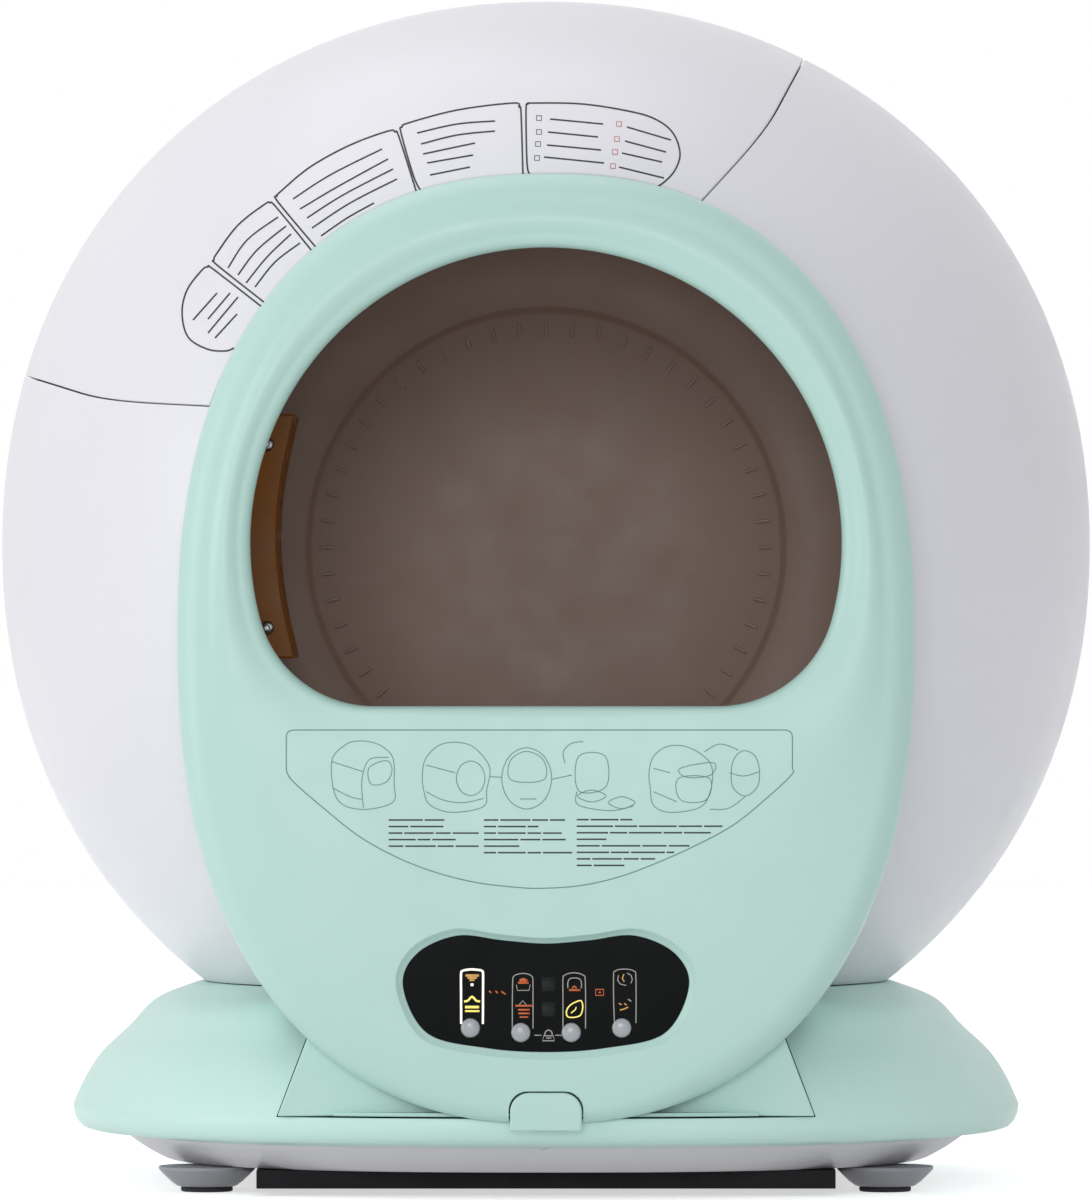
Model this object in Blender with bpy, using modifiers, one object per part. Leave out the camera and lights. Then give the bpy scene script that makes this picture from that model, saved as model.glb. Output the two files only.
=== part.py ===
"""Self cleaning litter box: a ball shaped housing on a wide base, a turning drum inside,
a removable front bezel, a waste drawer and a small control panel.  Metres, +Z up, front at -Y."""
import math

import bmesh
import bpy
from mathutils import Matrix, Vector

MM = 0.001

# Fits and walls
TOUCH_GAP = 0.3 * MM
SEAM_GAP = 0.6 * MM
SLIDE_GAP = 0.6 * MM
CUT_OVERRUN = 5 * MM
SHELL_WALL = 3 * MM

# Ball housing
BALL_RADIUS = 300 * MM
BALL_HALF_DEPTH = 270 * MM
BALL_POWER = 2.1
REAR_SEAM_Y = 30 * MM
HOOD_FROM_ANGLE = math.radians(62)
HOOD_TO_ANGLE = math.radians(162)
HOOD_CURL_ANGLE = math.radians(5)
HOOD_CURL_SHARE = 0.4
HOOD_BEZEL_GAP = 2 * MM

# Entry window and the ball's mouth behind it
WINDOW_RADIUS = 156 * MM
WINDOW_DROP = 86 * MM
WINDOW_CORNER = 62 * MM
WINDOW_LIP_RADIUS = 6 * MM
WINDOW_LIP_DEPTH = 34 * MM
MOUTH_LEDGE = 28 * MM
MOUTH_RADIUS = WINDOW_RADIUS + MOUTH_LEDGE

# Front ring
RING_PLATE = 4 * MM
RING_SEAT_GAP = 1.3 * MM
RING_OVERLAP = 7 * MM
RING_OUTER_RADIUS = MOUTH_RADIUS + RING_OVERLAP
RING_BORE_STEP = 4 * MM
RING_BORE_RADIUS = WINDOW_RADIUS + RING_BORE_STEP
RING_LIP = 5 * MM
RING_LIP_WALL = 3 * MM
SEAL_WALL = 2.5 * MM
SEAL_DEPTH = 2.5 * MM

# Base
BASE_POWER = 2.6
BASE_RIM_Z = 31 * MM
BASE_WIDE_Z = 43 * MM
BASE_WIDTH_INSET = 40 * MM
BASE_DEPTH_INSET = 13 * MM
BASE_HALF_WIDTH = BALL_RADIUS - BASE_WIDTH_INSET
BASE_HALF_DEPTH = BALL_HALF_DEPTH - BASE_DEPTH_INSET
BASE_TOP_Z = 109.4 * MM
BASE_TOP_WIDTH_INSET = 111 * MM
BASE_TOP_DEPTH_INSET = 107 * MM
BASE_TOP_HALF_WIDTH = BALL_RADIUS - BASE_TOP_WIDTH_INSET
BASE_TOP_HALF_DEPTH = BALL_HALF_DEPTH - BASE_TOP_DEPTH_INSET
BALL_FOOT_Z = BASE_TOP_Z + SEAM_GAP
# Height, half width and half depth of each ring of the cover, as shares of the rises and the
# steps from the widest ring to the top edge
COVER_RING_SHARES = ((0.21, 0.09, 0.06), (0.42, 0.22, 0.20), (0.63, 0.43, 0.40),
                     (0.84, 0.62, 0.62), (0.955, 0.87, 0.86), (1.0, 1.0, 1.0))
COVER_RIM_INSET = 8 * MM
COVER_UNDER_Z = 28.5 * MM
COVER_UNDER_INSET = 28 * MM
COVER_FLANGE_WIDTH = 14 * MM

# Pan under the cover
PAN_BOTTOM_Z = 14 * MM
PAN_LAP = 7.5 * MM
PAN_TOP_Z = COVER_UNDER_Z + PAN_LAP
PAN_FLOOR_INSET = 55 * MM
PAN_KNEE_Z = 18 * MM
PAN_KNEE_INSET = 43 * MM
PAN_SEAM_WIDTH = 1.2 * MM
PAN_SEAM_DEPTH = 1.2 * MM
FLOOR_TOP_Z = PAN_BOTTOM_Z + SHELL_WALL + TOUCH_GAP

# Feet and the plate between them
FOOT_SIDE_INSET = 77 * MM
FOOT_END_INSET = 129 * MM
FOOT_X = BASE_HALF_WIDTH - FOOT_SIDE_INSET
FOOT_Y = BASE_HALF_DEPTH - FOOT_END_INSET
FOOT_TOP_RADIUS = 26 * MM
FOOT_LOW_RADIUS = 15 * MM
PAD_HEIGHT = 2.5 * MM
PAD_RADIUS = 14 * MM
UNDER_PLATE_LOW_Z = 4 * MM
UNDER_FOOT_GAP = 2 * MM
UNDER_DEPTH_INSET = 79 * MM
UNDER_HALF_WIDTH = FOOT_X - FOOT_TOP_RADIUS - UNDER_FOOT_GAP
UNDER_HALF_DEPTH = BASE_HALF_DEPTH - UNDER_DEPTH_INSET

# Waste drawer's heights and widths
DRAWER_FRONT_RISE = 2.6 * MM
DRAWER_FRONT_LOW_Z = BASE_WIDE_Z + DRAWER_FRONT_RISE
DRAWER_FRONT_BELOW_TOP = 10.4 * MM
DRAWER_FRONT_TOP_Z = BASE_TOP_Z - DRAWER_FRONT_BELOW_TOP
DRAWER_FLOOR_RISE = 0.4 * MM
DRAWER_FLOOR_Z = DRAWER_FRONT_LOW_Z + DRAWER_FLOOR_RISE
DRAWER_RIM_DROP = 4 * MM
DRAWER_RIM_Z = DRAWER_FRONT_TOP_Z - DRAWER_RIM_DROP
DRAWER_HALF_WIDTH = 118 * MM
DRAWER_FRONT_MARGIN = 4 * MM
DRAWER_FRONT_FLARE = 20.4 * MM
DRAWER_FRONT_TOP_HALF = DRAWER_HALF_WIDTH + DRAWER_FRONT_MARGIN
DRAWER_FRONT_LOW_HALF = DRAWER_FRONT_TOP_HALF + DRAWER_FRONT_FLARE
DRAWER_WALL = 2.5 * MM
DRAWER_FRONT = 8 * MM
DRAWER_GRIP_RADIUS = 28 * MM
BAG_RING_WIDTH = 9 * MM
BAG_RING_HEIGHT = 3 * MM
RAIL_WIDTH = 20 * MM
RAIL_LIP = 3 * MM
RAIL_LIP_HEIGHT = 6 * MM

# Drum, whose axis stands over the drawer
DRUM_CLEARANCE = 57 * MM
DRUM_RADIUS = BALL_RADIUS - SHELL_WALL - DRUM_CLEARANCE
DRUM_LOW_CLEARANCE = 10.7 * MM
BALL_CENTRE_Z = DRAWER_RIM_Z + TOUCH_GAP + BAG_RING_HEIGHT + DRUM_LOW_CLEARANCE + DRUM_RADIUS
BALL_CENTRE = Vector((0, 0, BALL_CENTRE_Z))
DRUM_WALL = 3 * MM
DRUM_BELT_FRONT_Y = -40 * MM
DRUM_NECK_LENGTH = 46 * MM
DRUM_NECK_STEP = 5 * MM
DRUM_NECK_RADIUS = RING_BORE_RADIUS + DRUM_NECK_STEP
DRUM_BACK_RING_RADIUS = 138 * MM
DRUM_BACK_RING_DEPTH = 6 * MM
DRUM_REAR_BULGE = 100 * MM
DRUM_REAR_CLEARANCE = 28.4 * MM
BACK_RING_REACH_SHARE = DRUM_BACK_RING_RADIUS / (BALL_RADIUS - SHELL_WALL)
DRUM_REAR_ROOM_Y = (BALL_HALF_DEPTH - SHELL_WALL) * math.sqrt(1 - BACK_RING_REACH_SHARE ** 2)
DRUM_BELT_REAR_Y = DRUM_REAR_ROOM_Y - DRUM_REAR_CLEARANCE - DRUM_REAR_BULGE

# Gears
GEAR_TEETH = 96
PINION_TEETH = 12
GEAR_RIM = 6 * MM
GEAR_PITCH_RADIUS = DRUM_RADIUS + GEAR_RIM
GEAR_ADDENDUM = 3.2 * MM
GEAR_DEDENDUM = 4 * MM
GEAR_WIDTH = 12 * MM
GEAR_SETBACK = 8 * MM
GEAR_REAR_Y = DRUM_BELT_REAR_Y - GEAR_SETBACK
GEAR_FRONT_Y = GEAR_REAR_Y - GEAR_WIDTH
PINION_ANGLE = math.radians(281)
PINION_BORE_RADIUS = 5 * MM
TOOTH_ROOT_SHARE = 0.62
TOOTH_TIP_SHARE = 0.28

# Rollers and their cradle
ROLLER_WIDTH = 12 * MM
REAR_ROLLER_RADIUS = 15 * MM
REAR_ROLLER_SETBACK = 26 * MM
REAR_ROLLER_Y = GEAR_FRONT_Y - REAR_ROLLER_SETBACK
REAR_ROLLER_SPREAD = math.radians(30)
REAR_ROLLER_REACH = DRUM_RADIUS + TOUCH_GAP + REAR_ROLLER_RADIUS
FRONT_ROLLER_RADIUS = 12 * MM
FRONT_ROLLER_SETBACK = 12 * MM
FRONT_ROLLER_SPREAD = math.radians(42)
FRONT_ROLLER_REACH = DRUM_NECK_RADIUS + TOUCH_GAP + FRONT_ROLLER_RADIUS
AXLE_RADIUS = 4 * MM
AXLE_HEAD_RADIUS = 6.5 * MM
AXLE_HEAD = 2.5 * MM
TYRE_GROOVE = 1 * MM
CRADLE_PLATE = 6 * MM
CRADLE_SIDE = 24.35 * MM
CRADLE_HALF_WIDTH = REAR_ROLLER_REACH * math.sin(REAR_ROLLER_SPREAD) + CRADLE_SIDE
CRADLE_MARGIN = 9 * MM
CRADLE_REAR_Y = REAR_ROLLER_Y - ROLLER_WIDTH / 2 - SLIDE_GAP
CRADLE_FRONT_Y = CRADLE_REAR_Y - CRADLE_PLATE

# Waste port and sifter
PORT_FROM_ANGLE = math.radians(98)
PORT_TO_ANGLE = math.radians(134)
PORT_FRONT_MARGIN = 10 * MM
PORT_REAR_MARGIN = 12 * MM
PORT_FRONT_Y = DRUM_BELT_FRONT_Y + PORT_FRONT_MARGIN
PORT_REAR_Y = REAR_ROLLER_Y - PORT_REAR_MARGIN
SIFTER_FLANGE = 4 * MM
SIFTER_FRONT_MARGIN = 6 * MM
SIFTER_REAR_MARGIN = 4 * MM
SIFTER_FLANGE_Y = DRUM_BELT_FRONT_Y + SIFTER_FRONT_MARGIN
SIFTER_REAR_Y = GEAR_FRONT_Y - SIFTER_REAR_MARGIN
SIFTER_PLATE = 3 * MM
SIFTER_BARS = 7
SIFTER_BAR_WIDTH = 5 * MM
SIFTER_RISE = 72 * MM
SIFTER_FALL = 62 * MM
SIFTER_INNER_RADIUS = 138 * MM
SIFTER_BOW = 10 * MM
SIFTER_SCREW_RADIUS = 4 * MM
SIFTER_SCREW_HEAD = 2.4 * MM

# Motor and its bracket
MOTOR_RADIUS = 24 * MM
MOTOR_LENGTH = 48 * MM
GEARBOX_RADIUS = 29 * MM
GEARBOX_LENGTH = 20 * MM
MOTOR_BRACKET = 4 * MM
MOTOR_BRACKET_HALF_WIDTH = 36 * MM
MOTOR_FOOT_DEPTH = 40 * MM

# Bezel, which stands before the ball and the base
BEZEL_SIDE_BAND = 39 * MM
BEZEL_HALF_WIDTH = WINDOW_RADIUS + BEZEL_SIDE_BAND
BEZEL_CENTRE_DROP = 49.5 * MM
BEZEL_CENTRE_Z = BALL_CENTRE_Z - BEZEL_CENTRE_DROP
BEZEL_TOP_BAND = 39.5 * MM
BEZEL_RISE = BEZEL_CENTRE_DROP + WINDOW_RADIUS + BEZEL_TOP_BAND
BEZEL_LOW_LAP = 0.5 * MM
BEZEL_LOW_Z = BASE_WIDE_Z - BEZEL_LOW_LAP
BEZEL_DROP = BEZEL_CENTRE_Z - BEZEL_LOW_Z
BEZEL_POWER = 2.35
BEZEL_FACE_SETBACK = 3 * MM
BEZEL_FACE_Y = BEZEL_FACE_SETBACK - BALL_HALF_DEPTH
BEZEL_CROWN = 3.46 * MM
BEZEL_WALL = 3 * MM
BEZEL_EDGE_RADIUS = 14 * MM
BEZEL_DEPTH = 117 * MM
BEZEL_DEEPEST_Y = BEZEL_FACE_Y + BEZEL_DEPTH
BEZEL_EYE_DROP = 24 * MM
BEZEL_EYE_Z = BALL_CENTRE_Z - BEZEL_EYE_DROP
BEZEL_EDGE_SHARE = 0.8
BAND_LEAST_DEPTH = 12 * MM
BEZEL_FACE_SHARES = (1 / 3, 2 / 3)
ROUND_SHARE = 0.293

# Control panel
PANEL_HALF_WIDTH = 75 * MM
PANEL_HALF_HEIGHT = 30.6 * MM
PANEL_RISE = 69.2 * MM
PANEL_CENTRE_Z = BEZEL_LOW_Z + PANEL_RISE
PANEL_GLASS = 3 * MM
PANEL_RECESS = 2 * MM
PANEL_REVEAL = 1.2 * MM
PANEL_SEAT_RISE = 0.4 * MM
PANEL_WALL = 3 * MM
PANEL_POCKET = 12 * MM
BOARD_THICKNESS = 1.6 * MM
BOARD_MARGIN = 2 * MM
SWITCH_SIZE = 6 * MM
SWITCH_HEIGHT = 3.6 * MM
DISPLAY_WIDTH = 10 * MM
DISPLAY_HEIGHT = 22 * MM
BUTTON_COUNT = 4
BUTTON_RADIUS = 5.2 * MM
BUTTON_PITCH = 26.6 * MM
BUTTON_DROP = 20.7 * MM
BUTTON_LOW_Z = PANEL_CENTRE_Z - BUTTON_DROP
BUTTON_STEP_Z = 2.4 * MM
BUTTON_PROUD = 1.4 * MM
BUTTON_TRAVEL = 1 * MM
# Right half of the bean outline, as shares of the panel's half width and half height
BEAN_HALF_SHARES = ((0.0, 0.845), (0.3, 0.9), (0.62, 0.98), (0.9, 0.68), (1.0, 0.12),
                    (0.83, -0.68), (0.42, -0.93), (0.0, -1.0))
GLASS_FRONT_Y = BEZEL_FACE_Y + PANEL_RECESS
GLASS_BACK_Y = GLASS_FRONT_Y + PANEL_GLASS
HOUSING_FRONT_Y = BEZEL_FACE_Y + BEZEL_WALL - PANEL_SEAT_RISE
POCKET_FLOOR_Y = HOUSING_FRONT_Y + PANEL_POCKET
HOUSING_BACK_Y = POCKET_FLOOR_Y + PANEL_WALL
BOARD_FRONT_Y = POCKET_FLOOR_Y - TOUCH_GAP - BOARD_THICKNESS
BUTTON_FRONT_Y = GLASS_FRONT_Y - BUTTON_PROUD
BUTTON_BACK_Y = BOARD_FRONT_Y - SWITCH_HEIGHT - TOUCH_GAP - BUTTON_TRAVEL

# Release tab under the bezel
TAB_HALF_WIDTH = 19 * MM
TAB_OVERHANG = 3.5 * MM
TAB_HEIGHT = 20.4 * MM
TAB_LOW_Z = BEZEL_LOW_Z - TAB_OVERHANG
TAB_TOP_Z = TAB_LOW_Z + TAB_HEIGHT
TAB_CORNER = 10 * MM
TAB_THICKNESS = 5 * MM
TAB_PROUD = 1.5 * MM
TAB_FRONT_Y = BEZEL_FACE_Y - TAB_PROUD

# Waste drawer's places along Y, behind the panel's housing and before the cradle
DRAWER_SETBACK = 9.4 * MM
DRAWER_FRONT_Y = HOUSING_BACK_Y + DRAWER_SETBACK
DRAWER_REAR_GAP = 1.4 * MM
DRAWER_REAR_Y = CRADLE_FRONT_Y - DRAWER_REAR_GAP
BAND_FRONT_Y = DRAWER_FRONT_Y - SLIDE_GAP
RAIL_SETBACK = 90 * MM
RAIL_FRONT_Y = DRAWER_FRONT_Y + RAIL_SETBACK

# Power inlet
INLET_X = -90 * MM
INLET_RISE = 21 * MM
INLET_Z = BASE_WIDE_Z + INLET_RISE
INLET_RADIUS = 7 * MM
INLET_BORE_RADIUS = 3.2 * MM
INLET_LENGTH = 16 * MM

# Facets
BALL_COLUMN_ANGLE = math.radians(9)
BALL_ROWS = 8
BEZEL_COLUMNS = 56
BEAN_STEPS = 3
CORNER_STEPS = 4
BOW_STEPS = 8
CRADLE_STEPS = 16
DRUM_CURVE_STEPS = 3
RING_COLUMNS = 48
SPIN_STEPS = 40
SMALL_STEPS = 14
SEARCH_STEPS = 30
WELD_DISTANCE = 0.01 * MM
SMOOTH_ANGLE = math.radians(35)

SCENE = bpy.context.scene


def clear_scene():
    """Empty the scene, so that only the litter box is in it."""
    for thing in list(bpy.data.objects):
        bpy.data.objects.remove(thing, do_unlink=True)


def make_collection(name):
    """Add a collection to the scene and return it."""
    collection = bpy.data.collections.new(name)
    SCENE.collection.children.link(collection)
    return collection


def make_material(name, colour, roughness, metallic=0, see_through=0):
    """Return a Principled BSDF material."""
    material = bpy.data.materials.new(name)
    material.use_nodes = True
    shader = material.node_tree.nodes["Principled BSDF"]
    shader.inputs["Base Color"].default_value = (*colour, 1)
    shader.inputs["Roughness"].default_value = roughness
    shader.inputs["Metallic"].default_value = metallic
    shader.inputs["Transmission Weight"].default_value = see_through
    return material


def add_object(name, mesh, material, collection=None):
    """Put a mesh in the scene under a name."""
    obj = bpy.data.objects.new(name, mesh)
    (collection or PARTS).objects.link(obj)
    if material:
        obj.data.materials.clear()
        obj.data.materials.append(material)
    mesh.shade_smooth()
    mesh.set_sharp_from_angle(angle=SMOOTH_ANGLE)
    return obj


def mesh_from(bm, name):
    """Turn a bmesh into a mesh and free it."""
    mesh = bpy.data.meshes.new(name)
    bm.to_mesh(mesh)
    bm.free()
    return mesh


def box(name, low, high, material, collection=None):
    """A block between two corners."""
    bm = bmesh.new()
    bmesh.ops.create_cube(bm, size=1)
    low, high = Vector(low), Vector(high)
    size = high - low
    bmesh.ops.scale(bm, vec=size, verts=bm.verts)
    obj = add_object(name, mesh_from(bm, name), material, collection)
    obj.location = (low + high) / 2
    return obj


def cylinder(name, radius, start, end, material, end_radius=None, steps=SMALL_STEPS, collection=None):
    """A round bar or cone between two points, with its origin at the first."""
    start, end = Vector(start), Vector(end)
    length = (end - start).length
    bm = bmesh.new()
    bmesh.ops.create_cone(bm, cap_ends=True, segments=steps, radius1=radius,
                          radius2=radius if end_radius is None else end_radius, depth=length,
                          matrix=Matrix.Translation((0, 0, length / 2)))
    obj = add_object(name, mesh_from(bm, name), material, collection)
    obj.location = start
    obj.rotation_euler = (end - start).to_track_quat("Z", "Y").to_euler()
    return obj


def weld(mesh):
    """Close the loose caps of a mesh that was a curve, with its faces pointing out."""
    bm = bmesh.new()
    bm.from_mesh(mesh)
    bmesh.ops.remove_doubles(bm, verts=bm.verts, dist=WELD_DISTANCE)
    bmesh.ops.recalc_face_normals(bm, faces=bm.faces)
    bm.to_mesh(mesh)
    bm.free()


def plate(name, outlines, front_y, thickness, material, collection=None):
    """A plate with outlines in X and Z, its front face at front_y.  A second outline is a hole."""
    curve = bpy.data.curves.new(name, "CURVE")
    curve.dimensions = "2D"
    curve.fill_mode = "BOTH"
    curve.extrude = thickness / 2
    for outline in outlines:
        spline = curve.splines.new("POLY")
        spline.points.add(len(outline) - 1)
        for point, (across, up) in zip(spline.points, outline):
            point.co = (across, up, 0, 1)
        spline.use_cyclic_u = True
    drawn = bpy.data.objects.new(name + "_outline", curve)
    (collection or PARTS).objects.link(drawn)
    drawn.rotation_euler = (math.radians(90), 0, 0)
    drawn.location = (0, front_y + thickness / 2, 0)
    bpy.context.view_layer.update()
    seen = drawn.evaluated_get(bpy.context.evaluated_depsgraph_get())
    mesh = bpy.data.meshes.new_from_object(seen)
    mesh.name = name
    weld(mesh)
    place = drawn.matrix_world.copy()
    bpy.data.objects.remove(drawn, do_unlink=True)
    obj = add_object(name, mesh, material, collection)
    obj.matrix_world = place
    return obj


def spun(name, profile, material, centre=None, steps=SPIN_STEPS, open_profile=False):
    """A body turned about the Y axis through centre.  The profile's points are (radius, y) and
    run from front to back on the outer side.  An open profile starts and ends on the axis."""
    bm = bmesh.new()
    verts = [bm.verts.new((radius, 0, -along)) for radius, along in profile]
    following = verts[1:] if open_profile else verts[1:] + verts[:1]
    for first, second in zip(verts, following):
        bm.edges.new((first, second))
    obj = add_object(name, mesh_from(bm, name), material)
    obj.location = BALL_CENTRE if centre is None else centre
    obj.rotation_euler = (math.radians(90), 0, 0)
    screw = obj.modifiers.new("turn", "SCREW")
    screw.steps = steps
    screw.render_steps = steps
    screw.use_merge_vertices = True
    screw.merge_threshold = WELD_DISTANCE
    screw.use_smooth_shade = True
    return obj


def skin(name, rows, wall, material, closed=True, last_point=None):
    """A shell with its outer face through rows of points, which run the way that makes
    row direction times column direction point out."""
    bm = bmesh.new()
    grid = [[bm.verts.new(point) for point in row] for row in rows]
    columns = len(grid[0])
    for upper, lower in zip(grid, grid[1:]):
        for column in range(columns if closed else columns - 1):
            following = (column + 1) % columns
            bm.faces.new((upper[column], lower[column], lower[following], upper[following]))
    if last_point is not None:
        pole = bm.verts.new(last_point)
        for column in range(columns):
            bm.faces.new((grid[-1][column], pole, grid[-1][(column + 1) % columns]))
    obj = add_object(name, mesh_from(bm, name), material)
    thicken = obj.modifiers.new("wall", "SOLIDIFY")
    thicken.thickness = wall
    thicken.offset = -1
    thicken.use_even_offset = False
    return obj


def combine(obj, other, operation):
    """Cut or join one object with another, which is kept as a hidden guide."""
    for collection in list(other.users_collection):
        collection.objects.unlink(other)
    CUTTERS.objects.link(other)
    other.hide_render = True
    other.display_type = "WIRE"
    step = obj.modifiers.new(operation.lower() + " " + other.name, "BOOLEAN")
    step.operation = operation
    step.solver = "EXACT"
    step.object = other


def cut(obj, cutter):
    """Take a cutter's form out of an object."""
    combine(obj, cutter, "DIFFERENCE")


def join(obj, other):
    """Make another form part of an object."""
    combine(obj, other, "UNION")


def polar(radius, angle, centre_z=BALL_CENTRE_Z):
    """Across and up of a point at a radius and angle about the drum's axis."""
    return radius * math.cos(angle), centre_z + radius * math.sin(angle)


def circle(radius, count, across=0, up=BALL_CENTRE_Z):
    """Points of a circle in X and Z."""
    turn = math.tau / count
    return [(across + radius * math.cos(step * turn), up + radius * math.sin(step * turn))
            for step in range(count)]


def arc(radius, start, end, count, across=0, up=BALL_CENTRE_Z):
    """Points of an arc in X and Z, ends included."""
    return [(across + radius * math.cos(start + (end - start) * step / count),
             up + radius * math.sin(start + (end - start) * step / count))
            for step in range(count + 1)]


def smooth_loop(points, parts):
    """A closed Catmull-Rom curve through points, with parts steps from one to the next."""
    loop = []
    count = len(points)
    for index in range(count):
        before, start, end, after = (Vector(points[(index + shift) % count]) for shift in (-1, 0, 1, 2))
        for step in range(parts):
            t = step / parts
            loop.append(tuple(0.5 * (2 * start + (end - before) * t
                                     + (2 * before - 5 * start + 4 * end - after) * t ** 2
                                     + (3 * start - before - 3 * end + after) * t ** 3)))
    return loop


def inside_bezel(across, up):
    """Whether a point in X and Z lies within the bezel's outline."""
    rise = up - BEZEL_CENTRE_Z
    reach = BEZEL_RISE if rise > 0 else BEZEL_DROP
    return (abs(across) / BEZEL_HALF_WIDTH) ** BEZEL_POWER + (abs(rise) / reach) ** BEZEL_POWER < 1


def inside_window(across, up):
    """Whether a point in X and Z lies within the window: a circle with a flat sill and round corners."""
    rise = up - BALL_CENTRE_Z
    corner_up = WINDOW_CORNER - WINDOW_DROP
    corner_across = math.sqrt((WINDOW_RADIUS - WINDOW_CORNER) ** 2 - corner_up ** 2)
    side, down = abs(across) - corner_across, rise - corner_up
    if math.hypot(across, rise) > WINDOW_RADIUS or rise < -WINDOW_DROP:
        return False
    past_corner = side > 0 and corner_across * down - corner_up * side < 0
    return not past_corner or math.hypot(side, down) < WINDOW_CORNER


def outline_reach(inside, angle, eye_z=BEZEL_EYE_Z):
    """How far an outline lies at an angle from an eye on the middle line, the bezel's own by default."""
    near, far = 0, 2 * BEZEL_DROP
    for _ in range(SEARCH_STEPS):
        middle = (near + far) / 2
        if inside(middle * math.cos(angle), eye_z + middle * math.sin(angle)):
            near = middle
        else:
            far = middle
    return near


def ball_fullness(angle):
    """How much the ball's outline stands out from a circle at an angle."""
    across, up = math.cos(angle), math.sin(angle)
    return (abs(across) ** BALL_POWER + abs(up) ** BALL_POWER) ** (-1 / BALL_POWER)


def ball_point(spread, angle):
    """A point of the ball's outer face: spread is measured from the front pole."""
    reach = BALL_RADIUS * math.sin(spread) * ball_fullness(angle)
    place_y = -BALL_HALF_DEPTH * math.cos(spread)
    return (reach * math.cos(angle), place_y, BALL_CENTRE_Z + reach * math.sin(angle))


def ball_front_y(across, up, inset=0):
    """Where the ball's face, or a face inset from it, lies in front of a point in X and Z."""
    reach = (abs(across) ** BALL_POWER + abs(up - BALL_CENTRE_Z) ** BALL_POWER) ** (1 / BALL_POWER)
    share = min(reach / (BALL_RADIUS - inset), 1)
    return -(BALL_HALF_DEPTH - inset) * math.sqrt(1 - share ** 2)


def spread_at(along):
    """The spread at which the ball's face reaches a place along Y."""
    return math.acos(-along / BALL_HALF_DEPTH)


MOUTH_SPREAD = math.asin(MOUTH_RADIUS / BALL_RADIUS)
SEAM_SPREAD = spread_at(REAR_SEAM_Y)
SEAM_HALF_ANGLE = SEAM_GAP / MOUTH_RADIUS / 2


def mouth_spread(angle):
    """The spread of the mouth's round edge."""
    return MOUTH_SPREAD


def hood_spread(angle):
    """The spread of the hood's front edge, which runs round the bezel's outline."""
    reach = outline_reach(inside_bezel, angle, BALL_CENTRE_Z) + HOOD_BEZEL_GAP
    return math.asin(reach / (BALL_RADIUS * ball_fullness(angle)))


def ball_patch(from_angle, to_angle, curl_sign, front_spread):
    """Rows of ball points from a front edge to the rear seam, between two seams that curl by the mouth."""
    rows = []
    columns = math.ceil((to_angle - from_angle) / BALL_COLUMN_ANGLE)
    for row in range(BALL_ROWS + 1):
        points = []
        for column in range(columns + 1):
            angle = from_angle + (to_angle - from_angle) * column / columns
            near = front_spread(angle)
            spread = near + (SEAM_SPREAD - near) * row / BALL_ROWS
            share = (spread - MOUTH_SPREAD) / (SEAM_SPREAD - MOUTH_SPREAD)
            curl = curl_sign * HOOD_CURL_ANGLE * max(0, 1 - share / HOOD_CURL_SHARE) ** 2
            points.append(ball_point(spread, angle + curl * (1 - 2 * column / columns)))
        rows.append(points)
    return rows


def below(name, top_z):
    """A block that takes away all that lies below a height."""
    reach = BALL_RADIUS + CUT_OVERRUN
    return box(name, (-reach, -reach, -reach), (reach, reach, top_z), None, CUTTERS)


def build_ball():
    """The fixed shells of the ball and the lift-off hood."""
    turn = math.tau
    front = skin("front_shell", ball_patch(HOOD_TO_ANGLE + SEAM_HALF_ANGLE,
                                           HOOD_FROM_ANGLE + turn - SEAM_HALF_ANGLE, -1, mouth_spread),
                 SHELL_WALL, SHELL_WHITE, closed=False)
    cut(front, below("front_shell_foot_cut", BALL_FOOT_Z))
    hood = skin("hood_cover", ball_patch(HOOD_FROM_ANGLE + SEAM_HALF_ANGLE,
                                         HOOD_TO_ANGLE - SEAM_HALF_ANGLE, 1, hood_spread),
                SHELL_WALL, SHELL_WHITE, closed=False)
    columns = round(turn / BALL_COLUMN_ANGLE)
    start = spread_at(REAR_SEAM_Y + SEAM_GAP)
    rows = [[ball_point(start + (math.pi - start) * row / BALL_ROWS, column * turn / columns)
             for column in range(columns)] for row in range(BALL_ROWS)]
    rear = skin("rear_shell", rows, SHELL_WALL, SHELL_WHITE, last_point=(0, BALL_HALF_DEPTH, BALL_CENTRE_Z))
    cut(rear, below("rear_shell_foot_cut", BALL_FOOT_Z))


RING_FRONT_Y = ball_front_y(RING_OUTER_RADIUS, BALL_CENTRE_Z, SHELL_WALL) + RING_SEAT_GAP
RING_BACK_Y = RING_FRONT_Y + RING_PLATE
RING_LIP_FRONT_Y = RING_FRONT_Y - RING_LIP
DRUM_NECK_FRONT_Y = RING_BACK_Y + 2 * TOUCH_GAP + SEAL_DEPTH
DRUM_FRONT_BULGE = DRUM_BELT_FRONT_Y - DRUM_NECK_FRONT_Y - DRUM_NECK_LENGTH
FRONT_ROLLER_Y = DRUM_NECK_FRONT_Y + FRONT_ROLLER_SETBACK


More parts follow.
